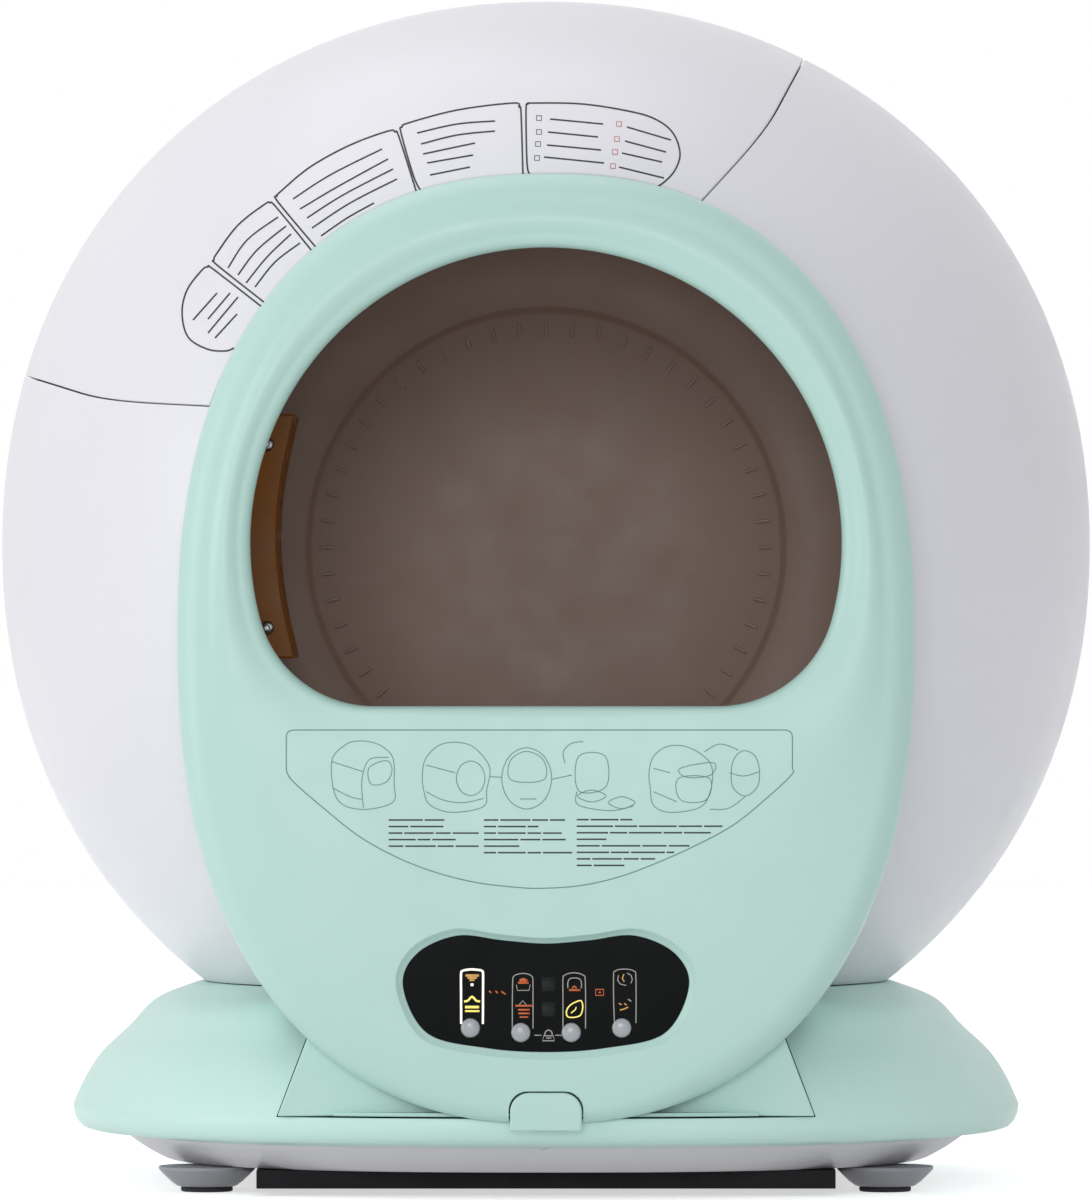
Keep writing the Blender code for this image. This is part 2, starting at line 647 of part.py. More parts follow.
def build_front_ring():
    """The ring plate behind the bezel and the seal between it and the drum's neck."""
    lip_radius = RING_BORE_RADIUS + RING_LIP_WALL
    spun("front_ring", [(RING_OUTER_RADIUS, RING_FRONT_Y), (RING_OUTER_RADIUS, RING_BACK_Y),
                        (RING_BORE_RADIUS, RING_BACK_Y), (RING_BORE_RADIUS, RING_LIP_FRONT_Y),
                        (lip_radius, RING_LIP_FRONT_Y), (lip_radius, RING_FRONT_Y)], MINT)
    seal_back = DRUM_NECK_FRONT_Y - TOUCH_GAP
    seal_front = RING_BACK_Y + TOUCH_GAP
    spun("drum_seal", [(DRUM_NECK_RADIUS, seal_front), (DRUM_NECK_RADIUS, seal_back),
                       (DRUM_NECK_RADIUS - SEAL_WALL, seal_back), (DRUM_NECK_RADIUS - SEAL_WALL, seal_front)],
         RUBBER)


def base_ring(height, half_width, half_depth):
    """Points of the base's plan at a height."""
    ring = []
    for column in range(RING_COLUMNS):
        angle = math.tau * (column + 0.5) / RING_COLUMNS
        across, along = math.cos(angle), math.sin(angle)
        reach = ((abs(across) / half_width) ** BASE_POWER + (abs(along) / half_depth) ** BASE_POWER)
        reach = reach ** (-1 / BASE_POWER)
        ring.append((reach * across, reach * along, height))
    return ring


def cover_ring_sizes():
    """Height, half width and half depth of each ring of the cover, from its widest to its top."""
    sizes = [(BASE_WIDE_Z, BASE_HALF_WIDTH, BASE_HALF_DEPTH)]
    for up_share, across_share, along_share in COVER_RING_SHARES:
        sizes.append((BASE_WIDE_Z + (BASE_TOP_Z - BASE_WIDE_Z) * up_share,
                      BASE_HALF_WIDTH - (BASE_HALF_WIDTH - BASE_TOP_HALF_WIDTH) * across_share,
                      BASE_HALF_DEPTH - (BASE_HALF_DEPTH - BASE_TOP_HALF_DEPTH) * along_share))
    return sizes


def cover_front_y(across, up):
    """Where the base cover's slope lies in front of a point in X and Z, or 0 off the cover."""
    for low, high in zip(cover_ring_sizes(), cover_ring_sizes()[1:]):
        if low[0] <= up <= high[0]:
            share = (up - low[0]) / (high[0] - low[0])
            half_width = low[1] + (high[1] - low[1]) * share
            half_depth = low[2] + (high[2] - low[2]) * share
            inner = 1 - min(abs(across) / half_width, 1) ** BASE_POWER
            return -half_depth * inner ** (1 / BASE_POWER)
    return -BASE_HALF_DEPTH if up < BASE_WIDE_Z else 0


def drawer_outline(grow):
    """The trapezoid of the drawer's front, grown on all sides."""
    low, high = DRAWER_FRONT_LOW_HALF + grow, DRAWER_FRONT_TOP_HALF + grow
    return [(-low, DRAWER_FRONT_LOW_Z - grow), (low, DRAWER_FRONT_LOW_Z - grow),
            (high, DRAWER_FRONT_TOP_Z + grow), (-high, DRAWER_FRONT_TOP_Z + grow)]


def build_base():
    """The cover, the pan with its underside plate, and the feet."""
    sizes = cover_ring_sizes()[::-1]
    top_z, top_width, top_depth = sizes[0]
    rows = [base_ring(top_z, top_width - COVER_FLANGE_WIDTH, top_depth - COVER_FLANGE_WIDTH)]
    rows += [base_ring(*size) for size in sizes]
    rows.append(base_ring(BASE_RIM_Z, BASE_HALF_WIDTH - COVER_RIM_INSET, BASE_HALF_DEPTH - COVER_RIM_INSET))
    rows.append(base_ring(COVER_UNDER_Z, BASE_HALF_WIDTH - COVER_UNDER_INSET,
                          BASE_HALF_DEPTH - COVER_UNDER_INSET))
    cover = skin("base_cover", rows, SHELL_WALL, MINT)
    opening = drawer_outline(SLIDE_GAP)
    cut(cover, plate("base_cover_drawer_cut", [opening], -BASE_HALF_DEPTH - CUT_OVERRUN,
                     BASE_HALF_DEPTH + CUT_OVERRUN - BASE_TOP_HALF_DEPTH / 2, None, CUTTERS))
    inlet_reach = BASE_HALF_DEPTH + CUT_OVERRUN
    cut(cover, cylinder("base_cover_inlet_cut", INLET_RADIUS + TOUCH_GAP, (INLET_X, 0, INLET_Z),
                        (INLET_X, inlet_reach, INLET_Z), None, collection=CUTTERS))
    skirt_inset = COVER_UNDER_INSET + SEAM_GAP
    pan_rows = [base_ring(height, BASE_HALF_WIDTH - inset, BASE_HALF_DEPTH - inset)
                for height, inset in ((PAN_TOP_Z, skirt_inset), (COVER_UNDER_Z, skirt_inset),
                                      (PAN_KNEE_Z, PAN_KNEE_INSET), (PAN_BOTTOM_Z, PAN_FLOOR_INSET))]
    pan = skin("base_pan", pan_rows, SHELL_WALL, SKIRT_GREY, last_point=(0, 0, PAN_BOTTOM_Z))
    half_seam = PAN_SEAM_WIDTH / 2
    front_y = -BASE_HALF_DEPTH + skirt_inset
    cut(pan, box("base_pan_seam_cut", (-half_seam, front_y - CUT_OVERRUN, PAN_KNEE_Z),
                 (half_seam, front_y + PAN_SEAM_DEPTH, COVER_UNDER_Z), None, CUTTERS))
    under_top = PAN_BOTTOM_Z - TOUCH_GAP
    box("underside_plate", (-UNDER_HALF_WIDTH, -UNDER_HALF_DEPTH, UNDER_PLATE_LOW_Z),
        (UNDER_HALF_WIDTH, UNDER_HALF_DEPTH, under_top), BLACK)
    for side_name, side in (("left", -1), ("right", 1)):
        for end_name, end in (("front", -1), ("rear", 1)):
            build_foot(end_name + "_" + side_name, side * FOOT_X, end * FOOT_Y)


def build_foot(place, across, along):
    """One foot with its pad."""
    top = PAN_BOTTOM_Z - TOUCH_GAP
    low = PAD_HEIGHT + TOUCH_GAP
    cylinder("foot_" + place, FOOT_LOW_RADIUS, (across, along, low), (across, along, top),
             FOOT_GREY, FOOT_TOP_RADIUS)
    cylinder("foot_pad_" + place, PAD_RADIUS, (across, along, 0), (across, along, PAD_HEIGHT), RUBBER)


def bezel_back_y(across, up):
    """Where the bezel's side wall ends: just before the ball, the base cover or the drawer."""
    to_middle = Vector((-across, BALL_CENTRE_Z - up)).normalized() * (BEZEL_WALL + SLIDE_GAP)
    back = min(BEZEL_DEEPEST_Y, ball_front_y(across + to_middle.x, up + to_middle.y))
    if up < BASE_TOP_Z + BEZEL_WALL:
        back = min(back, cover_front_y(abs(across) - BEZEL_WALL, min(up, BASE_TOP_Z)))
    drawer_half = DRAWER_FRONT_LOW_HALF + BEZEL_WALL
    if up < DRAWER_FRONT_TOP_Z + BEZEL_WALL and abs(across) < drawer_half:
        back = min(back, DRAWER_FRONT_Y)
    return back - SLIDE_GAP


def bezel_edge(column):
    """Angle, outer reach and back of the bezel's edge at one of its columns."""
    angle = math.tau * column / BEZEL_COLUMNS
    outer = outline_reach(inside_bezel, angle)
    return angle, outer, bezel_back_y(outer * math.cos(angle), BEZEL_EYE_Z + outer * math.sin(angle))


def bezel_rows():
    """Rows round the bezel, from the back of the window's lip over the face to the back edge."""
    columns = []
    for column in range(BEZEL_COLUMNS):
        angle, outer, deep = bezel_edge(column)
        inner = outline_reach(inside_window, angle)
        back = min(deep, BAND_FRONT_Y)
        edge = min(BEZEL_EDGE_RADIUS, (back - BEZEL_FACE_Y) * BEZEL_EDGE_SHARE)
        lip = WINDOW_LIP_RADIUS
        band = outer - edge - inner - lip
        stations = [(inner, BEZEL_FACE_Y + WINDOW_LIP_DEPTH), (inner, BEZEL_FACE_Y + lip),
                    (inner + lip * ROUND_SHARE, BEZEL_FACE_Y + lip * ROUND_SHARE),
                    (inner + lip, BEZEL_FACE_Y)]
        stations += [(inner + lip + band * share, BEZEL_FACE_Y - BEZEL_CROWN * math.sin(math.pi * share))
                     for share in BEZEL_FACE_SHARES]
        stations += [(outer - edge, BEZEL_FACE_Y),
                     (outer - edge * ROUND_SHARE, BEZEL_FACE_Y + edge * ROUND_SHARE),
                     (outer, BEZEL_FACE_Y + edge), (outer, back)]
        columns.append([(reach * math.cos(angle), along, BEZEL_EYE_Z + reach * math.sin(angle))
                        for reach, along in stations])
    return [list(row) for row in zip(*columns)]


def band_rows():
    """The two edges of the side band that closes the space between bezel and ball, where there is one."""
    front_y = BAND_FRONT_Y + TOUCH_GAP
    low = BEZEL_COLUMNS // 4
    edges = [bezel_edge(column) for column in range(-low, BEZEL_COLUMNS - low)]
    deep = [edge for edge in edges if edge[2] - front_y > BAND_LEAST_DEPTH]
    return [[(outer * math.cos(angle), along or back, BEZEL_EYE_Z + outer * math.sin(angle))
             for angle, outer, back in deep] for along in (front_y, None)]


def bean(grow):
    """The control panel's outline, grown on all sides."""
    half_width, half_height = PANEL_HALF_WIDTH + grow, PANEL_HALF_HEIGHT + grow
    right = [(across * half_width, PANEL_CENTRE_Z + up * half_height) for across, up in BEAN_HALF_SHARES]
    left = [(-across, up) for across, up in right[-2:0:-1]]
    return smooth_loop(right + left, BEAN_STEPS)


def tab_outline(grow):
    """The release tab's outline with its round top, grown on all sides."""
    half, top = TAB_HALF_WIDTH + grow, TAB_TOP_Z + grow
    return [(-half, TAB_LOW_Z - grow), (half, TAB_LOW_Z - grow)] + \
        arc(TAB_CORNER, 0, math.pi / 2, CORNER_STEPS, half - TAB_CORNER, top - TAB_CORNER) + \
        arc(TAB_CORNER, math.pi / 2, math.pi, CORNER_STEPS, TAB_CORNER - half, top - TAB_CORNER)


def button_places():
    """Name, across and up of each control button, in a shallow arc."""
    places = []
    for number in range(BUTTON_COUNT):
        step = number - (BUTTON_COUNT - 1) / 2
        lift = BUTTON_STEP_Z if abs(step) > 1 else 0
        places.append(("control_button_%d" % (number + 1), step * BUTTON_PITCH, BUTTON_LOW_Z + lift))
    return places


def build_bezel():
    """The removable bezel with its release tab."""
    bezel = skin("bezel", bezel_rows(), BEZEL_WALL, MINT)
    cut_front = BEZEL_FACE_Y - BEZEL_CROWN - CUT_OVERRUN
    cut_depth = BEZEL_CROWN + CUT_OVERRUN + BEZEL_WALL + CUT_OVERRUN
    cut(bezel, plate("bezel_panel_cut", [bean(PANEL_REVEAL)], cut_front, cut_depth, None, CUTTERS))
    notch = tab_outline(SLIDE_GAP)
    cut(bezel, plate("bezel_tab_cut", [notch], cut_front, cut_depth + CUT_OVERRUN, None, CUTTERS))
    skin("bezel_side_band", band_rows(), BEZEL_WALL, MINT, closed=False)
    plate("release_tab", [tab_outline(0)], TAB_FRONT_Y, TAB_THICKNESS, MINT)


def build_panel():
    """The control panel: glass, housing, board, display and four buttons."""
    holes = [circle(BUTTON_RADIUS + TOUCH_GAP, SMALL_STEPS, across, up) for _, across, up in button_places()]
    plate("panel_glass", [bean(0)] + holes, GLASS_FRONT_Y, PANEL_GLASS, GLASS_BLACK)
    housing = plate("control_housing", [bean(PANEL_WALL + TOUCH_GAP)], HOUSING_FRONT_Y,
                    HOUSING_BACK_Y - HOUSING_FRONT_Y, BLACK)
    cut(housing, plate("control_housing_pocket_cut", [bean(TOUCH_GAP)], HOUSING_FRONT_Y - CUT_OVERRUN,
                       PANEL_POCKET + CUT_OVERRUN, None, CUTTERS))
    board = plate("circuit_board", [bean(-BOARD_MARGIN)], BOARD_FRONT_Y, BOARD_THICKNESS, BOARD_GREEN)
    half = SWITCH_SIZE / 2
    for name, across, up in button_places():
        join(board, box(name + "_switch", (across - half, BOARD_FRONT_Y - SWITCH_HEIGHT, up - half),
                        (across + half, BOARD_FRONT_Y + BOARD_THICKNESS / 2, up + half), BLACK))
        cylinder(name, BUTTON_RADIUS, (across, BUTTON_FRONT_Y, up), (across, BUTTON_BACK_Y, up), KEY_SILVER)
    box("display_module", (-DISPLAY_WIDTH / 2, GLASS_BACK_Y + TOUCH_GAP, PANEL_CENTRE_Z - DISPLAY_HEIGHT / 2),
        (DISPLAY_WIDTH / 2, BOARD_FRONT_Y - TOUCH_GAP, PANEL_CENTRE_Z + DISPLAY_HEIGHT / 2), BLACK)


def drum_side(inset):
    """Radius and place along Y of the drum's face, or a face inset from it, from mouth to back."""
    bulge, rear = DRUM_FRONT_BULGE - inset, DRUM_REAR_BULGE - inset
    side = [(DRUM_NECK_RADIUS - inset, DRUM_NECK_FRONT_Y)]
    for step in range(DRUM_CURVE_STEPS + 1):
        angle = math.pi / 2 * (1 - step / DRUM_CURVE_STEPS)
        swell = (DRUM_RADIUS - DRUM_NECK_RADIUS) * math.cos(angle)
        side.append((DRUM_NECK_RADIUS - inset + swell, DRUM_BELT_FRONT_Y - bulge * math.sin(angle)))
    for step in range(DRUM_CURVE_STEPS + 1):
        angle = math.pi / 2 * step / DRUM_CURVE_STEPS
        swell = (DRUM_RADIUS - inset - DRUM_BACK_RING_RADIUS) * math.cos(angle)
        side.append((DRUM_BACK_RING_RADIUS + swell, DRUM_BELT_REAR_Y + rear * math.sin(angle)))
    back = DRUM_BELT_REAR_Y + rear + DRUM_BACK_RING_DEPTH
    side.append((DRUM_BACK_RING_RADIUS - DRUM_BACK_RING_DEPTH, back))
    side.append((0, back + DRUM_BACK_RING_DEPTH))
    return side


def build_drum():
    """The drum with its waste port."""
    drum = spun("drum", drum_side(DRUM_WALL)[::-1] + drum_side(0), DRUM_GREY, open_profile=True)
    middle = (PORT_FROM_ANGLE + PORT_TO_ANGLE) / 2
    half = DRUM_RADIUS * math.sin((PORT_TO_ANGLE - PORT_FROM_ANGLE) / 2)
    deep = DRUM_RADIUS * (1 - math.cos((PORT_TO_ANGLE - PORT_FROM_ANGLE) / 2)) + DRUM_WALL + CUT_OVERRUN
    port = box("drum_port_cut", (-deep, PORT_FRONT_Y, -half), (CUT_OVERRUN, PORT_REAR_Y, half), None, CUTTERS)
    across, up = polar(DRUM_RADIUS, middle)
    port.location = (across, (PORT_FRONT_Y + PORT_REAR_Y) / 2, up)
    port.rotation_euler = (0, -middle, 0)
    cut(drum, port)


def gear_outline(teeth, pitch_radius, first_angle, across=0, up=BALL_CENTRE_Z):
    """A gear's outline, with the middle of a tooth at the first angle."""
    pitch = math.tau / teeth
    root, tip = pitch_radius - GEAR_DEDENDUM, pitch_radius + GEAR_ADDENDUM
    points = []
    for tooth in range(teeth):
        middle = first_angle + tooth * pitch
        for radius, share in ((root, -TOOTH_ROOT_SHARE), (tip, -TOOTH_TIP_SHARE),
                              (tip, TOOTH_TIP_SHARE), (root, TOOTH_ROOT_SHARE)):
            angle = middle + pitch * share / 2
            points.append((across + radius * math.cos(angle), up + radius * math.sin(angle)))
    return points


def clear_circle(radius, count, across=0, up=BALL_CENTRE_Z):
    """A hole's outline whose flats, too, clear a round piece of the given radius."""
    return circle((radius + TOUCH_GAP) / math.cos(math.pi / count), count, across, up)


PINION_PITCH_RADIUS = GEAR_PITCH_RADIUS * PINION_TEETH / GEAR_TEETH
PINION_ACROSS, PINION_UP = polar(GEAR_PITCH_RADIUS + PINION_PITCH_RADIUS, PINION_ANGLE)
MOTOR_BRACKET_FRONT_Y = GEAR_REAR_Y + MOTOR_BRACKET
MOTOR_BRACKET_REAR_Y = MOTOR_BRACKET_FRONT_Y + MOTOR_BRACKET


def at_centre(obj, across, up, along):
    """Move an object's origin to a place in the scene and leave its form where it is."""
    place = obj.matrix_world.inverted() @ Vector((across, along, up))
    obj.data.transform(Matrix.Translation(-place))
    obj.matrix_world = obj.matrix_world @ Matrix.Translation(place)


def build_gears():
    """The drum's ring gear, the pinion with its shaft, and the motor on its bracket."""
    outlines = [gear_outline(GEAR_TEETH, GEAR_PITCH_RADIUS, PINION_ANGLE),
                clear_circle(DRUM_RADIUS, GEAR_TEETH // 2)]
    ring = plate("drum_ring_gear", outlines, GEAR_FRONT_Y, GEAR_WIDTH, GEAR_WHITE)
    at_centre(ring, 0, BALL_CENTRE_Z, GEAR_FRONT_Y)
    facing = PINION_ANGLE + math.pi + math.pi / PINION_TEETH
    pinion = plate("motor_pinion", [gear_outline(PINION_TEETH, PINION_PITCH_RADIUS, facing, PINION_ACROSS,
                                                 PINION_UP),
                                    clear_circle(PINION_BORE_RADIUS, SMALL_STEPS, PINION_ACROSS, PINION_UP)],
                   GEAR_FRONT_Y, GEAR_WIDTH, GEAR_WHITE)
    at_centre(pinion, PINION_ACROSS, PINION_UP, GEAR_FRONT_Y)
    cylinder("motor_shaft", PINION_BORE_RADIUS, (PINION_ACROSS, GEAR_FRONT_Y, PINION_UP),
             (PINION_ACROSS, MOTOR_BRACKET_REAR_Y, PINION_UP), STEEL)
    left, right = PINION_ACROSS - MOTOR_BRACKET_HALF_WIDTH, PINION_ACROSS + MOTOR_BRACKET_HALF_WIDTH
    foot_middle = FLOOR_TOP_Z + MOTOR_BRACKET / 2
    outline = [(left, foot_middle), (right, foot_middle), (right, PINION_UP)]
    outline += arc(GEARBOX_RADIUS, 0, math.pi, 2 * CORNER_STEPS, PINION_ACROSS, PINION_UP)
    outline.append((left, PINION_UP))
    bracket = plate("motor_bracket", [outline, clear_circle(PINION_BORE_RADIUS, SMALL_STEPS, PINION_ACROSS,
                                                            PINION_UP)],
                    MOTOR_BRACKET_FRONT_Y, MOTOR_BRACKET, STEEL)
    foot_front = MOTOR_BRACKET_FRONT_Y + MOTOR_BRACKET / 2
    join(bracket, box("motor_bracket_foot", (left - MOTOR_BRACKET, foot_front, FLOOR_TOP_Z),
                      (right + MOTOR_BRACKET, foot_front + MOTOR_FOOT_DEPTH, FLOOR_TOP_Z + MOTOR_BRACKET),
                      STEEL))
    start = MOTOR_BRACKET_REAR_Y + TOUCH_GAP
    step = start + GEARBOX_LENGTH
    motor = cylinder("gear_motor", GEARBOX_RADIUS, (PINION_ACROSS, start, PINION_UP),
                     (PINION_ACROSS, step, PINION_UP), STEEL)
    join(motor, cylinder("gear_motor_can", MOTOR_RADIUS, (PINION_ACROSS, step - CUT_OVERRUN, PINION_UP),
                         (PINION_ACROSS, step + MOTOR_LENGTH, PINION_UP), STEEL))


def roller(name, radius, width, along, across, up):
    """A support roller with a groove round its middle and a bore for its axle."""
    front, back = -width / 2, width / 2
    bore = AXLE_RADIUS + TOUCH_GAP
    half = TYRE_GROOVE
    spun(name, [(radius, front), (radius, -half), (radius - TYRE_GROOVE, 0), (radius, half), (radius, back),
                (bore, back), (bore, front)], RUBBER, centre=(across, along, up), steps=SMALL_STEPS)


def axle(name, across, up, start, end):
    """A roller's axle with its round head."""
    pin = cylinder(name, AXLE_RADIUS, (across, start, up), (across, end, up), STEEL)
    join(pin, cylinder(name + "_head", AXLE_HEAD_RADIUS, (across, end - AXLE_HEAD / 2, up),
                       (across, end + AXLE_HEAD, up), STEEL))


def build_rollers():
    """Two rollers behind the front ring and two on the cradle, each on its axle."""
    for side_name, side in (("left", -1), ("right", 1)):
        across, up = polar(FRONT_ROLLER_REACH, -math.pi / 2 + side * FRONT_ROLLER_SPREAD)
        roller("front_roller_" + side_name, FRONT_ROLLER_RADIUS, ROLLER_WIDTH, FRONT_ROLLER_Y, across, up)
        axle("front_axle_" + side_name, across, up, RING_BACK_Y + TOUCH_GAP,
             FRONT_ROLLER_Y + ROLLER_WIDTH / 2 + SLIDE_GAP + AXLE_HEAD / 2)
        across, up = polar(REAR_ROLLER_REACH, -math.pi / 2 + side * REAR_ROLLER_SPREAD)
        roller("rear_roller_" + side_name, REAR_ROLLER_RADIUS, ROLLER_WIDTH, REAR_ROLLER_Y, across, up)
        axle("rear_axle_" + side_name, across, up, CRADLE_REAR_Y + TOUCH_GAP,
             REAR_ROLLER_Y + ROLLER_WIDTH / 2 + SLIDE_GAP + AXLE_HEAD / 2)
    reach = DRUM_RADIUS + CRADLE_MARGIN
    end = math.asin(CRADLE_HALF_WIDTH / reach)
    outline = [(-CRADLE_HALF_WIDTH, FLOOR_TOP_Z), (CRADLE_HALF_WIDTH, FLOOR_TOP_Z)]
    outline += arc(reach, end - math.pi / 2, -end - math.pi / 2, CRADLE_STEPS)
    plate("roller_cradle", [outline], CRADLE_FRONT_Y, CRADLE_PLATE, BLACK)


def sifter_inner():
    """The bowed inner line of the sifter, from its top to its low end."""
    line = []
    for step in range(BOW_STEPS + 1):
        share = step / BOW_STEPS
        rise = SIFTER_RISE - (SIFTER_RISE + SIFTER_FALL) * share
        inward = SIFTER_BOW * math.sin(math.pi * share)
        line.append((-SIFTER_INNER_RADIUS - inward, BALL_CENTRE_Z + rise))
    return line


def build_sifter():
    """The sifter: an end flange on the drum's wall and a slotted plate behind it."""
    wall_radius = (DRUM_RADIUS - DRUM_WALL) * math.cos(math.pi / SPIN_STEPS) - TOUCH_GAP - SLIDE_GAP
    top_angle = math.pi - math.asin(SIFTER_RISE / wall_radius)
    low_angle = math.pi - math.asin(-SIFTER_FALL / wall_radius)
    flange = sifter_inner() + arc(wall_radius, low_angle, top_angle, BOW_STEPS)
    plate("sifter_flange", [flange], SIFTER_FLANGE_Y, SIFTER_FLANGE, AMBER)
    inner = sifter_inner()
    band = inner + [(across - SIFTER_PLATE, up) for across, up in inner[::-1]]
    front = SIFTER_FLANGE_Y + SIFTER_FLANGE + TOUCH_GAP
    length = SIFTER_REAR_Y - front
    screen = plate("sifter_grid", [band], front, length, AMBER)
    pitch = (length - SIFTER_BAR_WIDTH) / SIFTER_BARS
    middle = BALL_CENTRE_Z + (SIFTER_RISE - SIFTER_FALL) / 2
    far = SIFTER_INNER_RADIUS + SIFTER_BOW + SIFTER_PLATE + CUT_OVERRUN
    half_bar = SIFTER_BAR_WIDTH / 2
    for number in range(SIFTER_BARS):
        start = front + SIFTER_BAR_WIDTH + number * pitch
        end = start + pitch - SIFTER_BAR_WIDTH
        for side, low, high in (("low", BALL_CENTRE_Z - SIFTER_FALL + SIFTER_BAR_WIDTH, middle - half_bar),
                                ("top", middle + half_bar, BALL_CENTRE_Z + SIFTER_RISE - SIFTER_BAR_WIDTH)):
            cut(screen, box("sifter_slot_%s_%d" % (side, number), (-far, start, low),
                            (CUT_OVERRUN - SIFTER_INNER_RADIUS, end, high), None, CUTTERS))
    line = sifter_inner()
    for number, (across, up) in enumerate((line[1], line[-2])):
        across -= SIFTER_PLATE + 2 * SIFTER_SCREW_RADIUS
        cylinder("sifter_screw_%d" % (number + 1), SIFTER_SCREW_RADIUS,
                 (across, SIFTER_FLANGE_Y - TOUCH_GAP - SIFTER_SCREW_HEAD, up),
                 (across, SIFTER_FLANGE_Y - TOUCH_GAP, up), STEEL)


def build_drawer():
    """The waste drawer with its front, bag ring and rails."""
    tray_front = DRAWER_FRONT_Y + DRAWER_FRONT + TOUCH_GAP
    tray = box("waste_drawer", (-DRAWER_HALF_WIDTH, tray_front, DRAWER_FLOOR_Z),
               (DRAWER_HALF_WIDTH, DRAWER_REAR_Y, DRAWER_RIM_Z), BLACK)
    inner = DRAWER_HALF_WIDTH - DRAWER_WALL
    cut(tray, box("waste_drawer_cut", (-inner, tray_front + DRAWER_WALL, DRAWER_FLOOR_Z + DRAWER_WALL),
                  (inner, DRAWER_REAR_Y - DRAWER_WALL, DRAWER_RIM_Z + CUT_OVERRUN), None, CUTTERS))
    front = plate("drawer_front", [drawer_outline(0)], DRAWER_FRONT_Y, DRAWER_FRONT, MINT)
    cut(front, cylinder("drawer_front_grip_cut", DRAWER_GRIP_RADIUS,
                        (0, DRAWER_FRONT_Y - CUT_OVERRUN, DRAWER_FRONT_TOP_Z),
                        (0, DRAWER_FRONT_Y + DRAWER_FRONT + CUT_OVERRUN, DRAWER_FRONT_TOP_Z), None,
                        collection=CUTTERS))
    ring_low = DRAWER_RIM_Z + TOUCH_GAP
    ring = box("bag_ring", (-DRAWER_HALF_WIDTH, tray_front, ring_low),
               (DRAWER_HALF_WIDTH, DRAWER_REAR_Y, ring_low + BAG_RING_HEIGHT), BLACK)
    hole = DRAWER_HALF_WIDTH - BAG_RING_WIDTH
    cut(ring, box("bag_ring_cut", (-hole, tray_front + BAG_RING_WIDTH, ring_low - CUT_OVERRUN),
                  (hole, DRAWER_REAR_Y - BAG_RING_WIDTH, ring_low + BAG_RING_HEIGHT + CUT_OVERRUN),
                  None, CUTTERS))
    top = DRAWER_FLOOR_Z - TOUCH_GAP
    for side_name, side in (("left", -1), ("right", 1)):
        lip = side * (DRAWER_HALF_WIDTH + SLIDE_GAP)
        outline = [(lip - side * RAIL_WIDTH, FLOOR_TOP_Z), (lip - side * RAIL_WIDTH, top), (lip, top),
                   (lip, top + RAIL_LIP_HEIGHT), (lip + side * RAIL_LIP, top + RAIL_LIP_HEIGHT),
                   (lip + side * RAIL_LIP, FLOOR_TOP_Z)]
        plate("drawer_rail_" + side_name, [outline], RAIL_FRONT_Y, DRAWER_REAR_Y - RAIL_FRONT_Y, BLACK)


def build_inlet():
    """The round low voltage inlet in the base cover's rear."""
    rear_y = -cover_front_y(INLET_X, INLET_Z)
    inlet = cylinder("power_inlet", INLET_RADIUS, (INLET_X, rear_y - INLET_LENGTH, INLET_Z),
                     (INLET_X, rear_y, INLET_Z), BLACK)
    cut(inlet, cylinder("power_inlet_cut", INLET_BORE_RADIUS, (INLET_X, rear_y - INLET_LENGTH / 2, INLET_Z),
                        (INLET_X, rear_y + CUT_OVERRUN, INLET_Z), None, collection=CUTTERS))


clear_scene()
PARTS = make_collection("self_cleaning_litter_box")
CUTTERS = make_collection("cutters")
SHELL_WHITE = make_material("shell_white", (0.75, 0.75, 0.79), 0.35)
MINT = make_material("mint", (0.48, 0.7, 0.64), 0.45)
SKIRT_GREY = make_material("skirt_grey", (0.6, 0.61, 0.64), 0.5)
FOOT_GREY = make_material("foot_grey", (0.6, 0.6, 0.62), 0.5)
BLACK = make_material("black", (0.01, 0.01, 0.012), 0.5)
RUBBER = make_material("rubber", (0.02, 0.02, 0.02), 0.9)
GLASS_BLACK = make_material("glass_black", (0.008, 0.01, 0.01), 0.08)
BOARD_GREEN = make_material("board_green", (0.02, 0.12, 0.04), 0.5)
KEY_SILVER = make_material("key_silver", (0.45, 0.47, 0.48), 0.35, 0.3)
DRUM_GREY = make_material("drum_grey", (0.2, 0.165, 0.14), 0.5)
GEAR_WHITE = make_material("gear_white", (0.7, 0.7, 0.66), 0.5)
STEEL = make_material("steel", (0.5, 0.5, 0.52), 0.3, 1)
AMBER = make_material("amber", (0.3, 0.1, 0.02), 0.25)

build_ball()
build_front_ring()
build_base()
build_bezel()
build_panel()
build_drum()
build_gears()
build_rollers()
build_sifter()
build_drawer()
build_inlet()
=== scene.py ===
"""Looks of the self cleaning litter box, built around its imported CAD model."""

import math

import bmesh
import bpy
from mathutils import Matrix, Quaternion, Vector


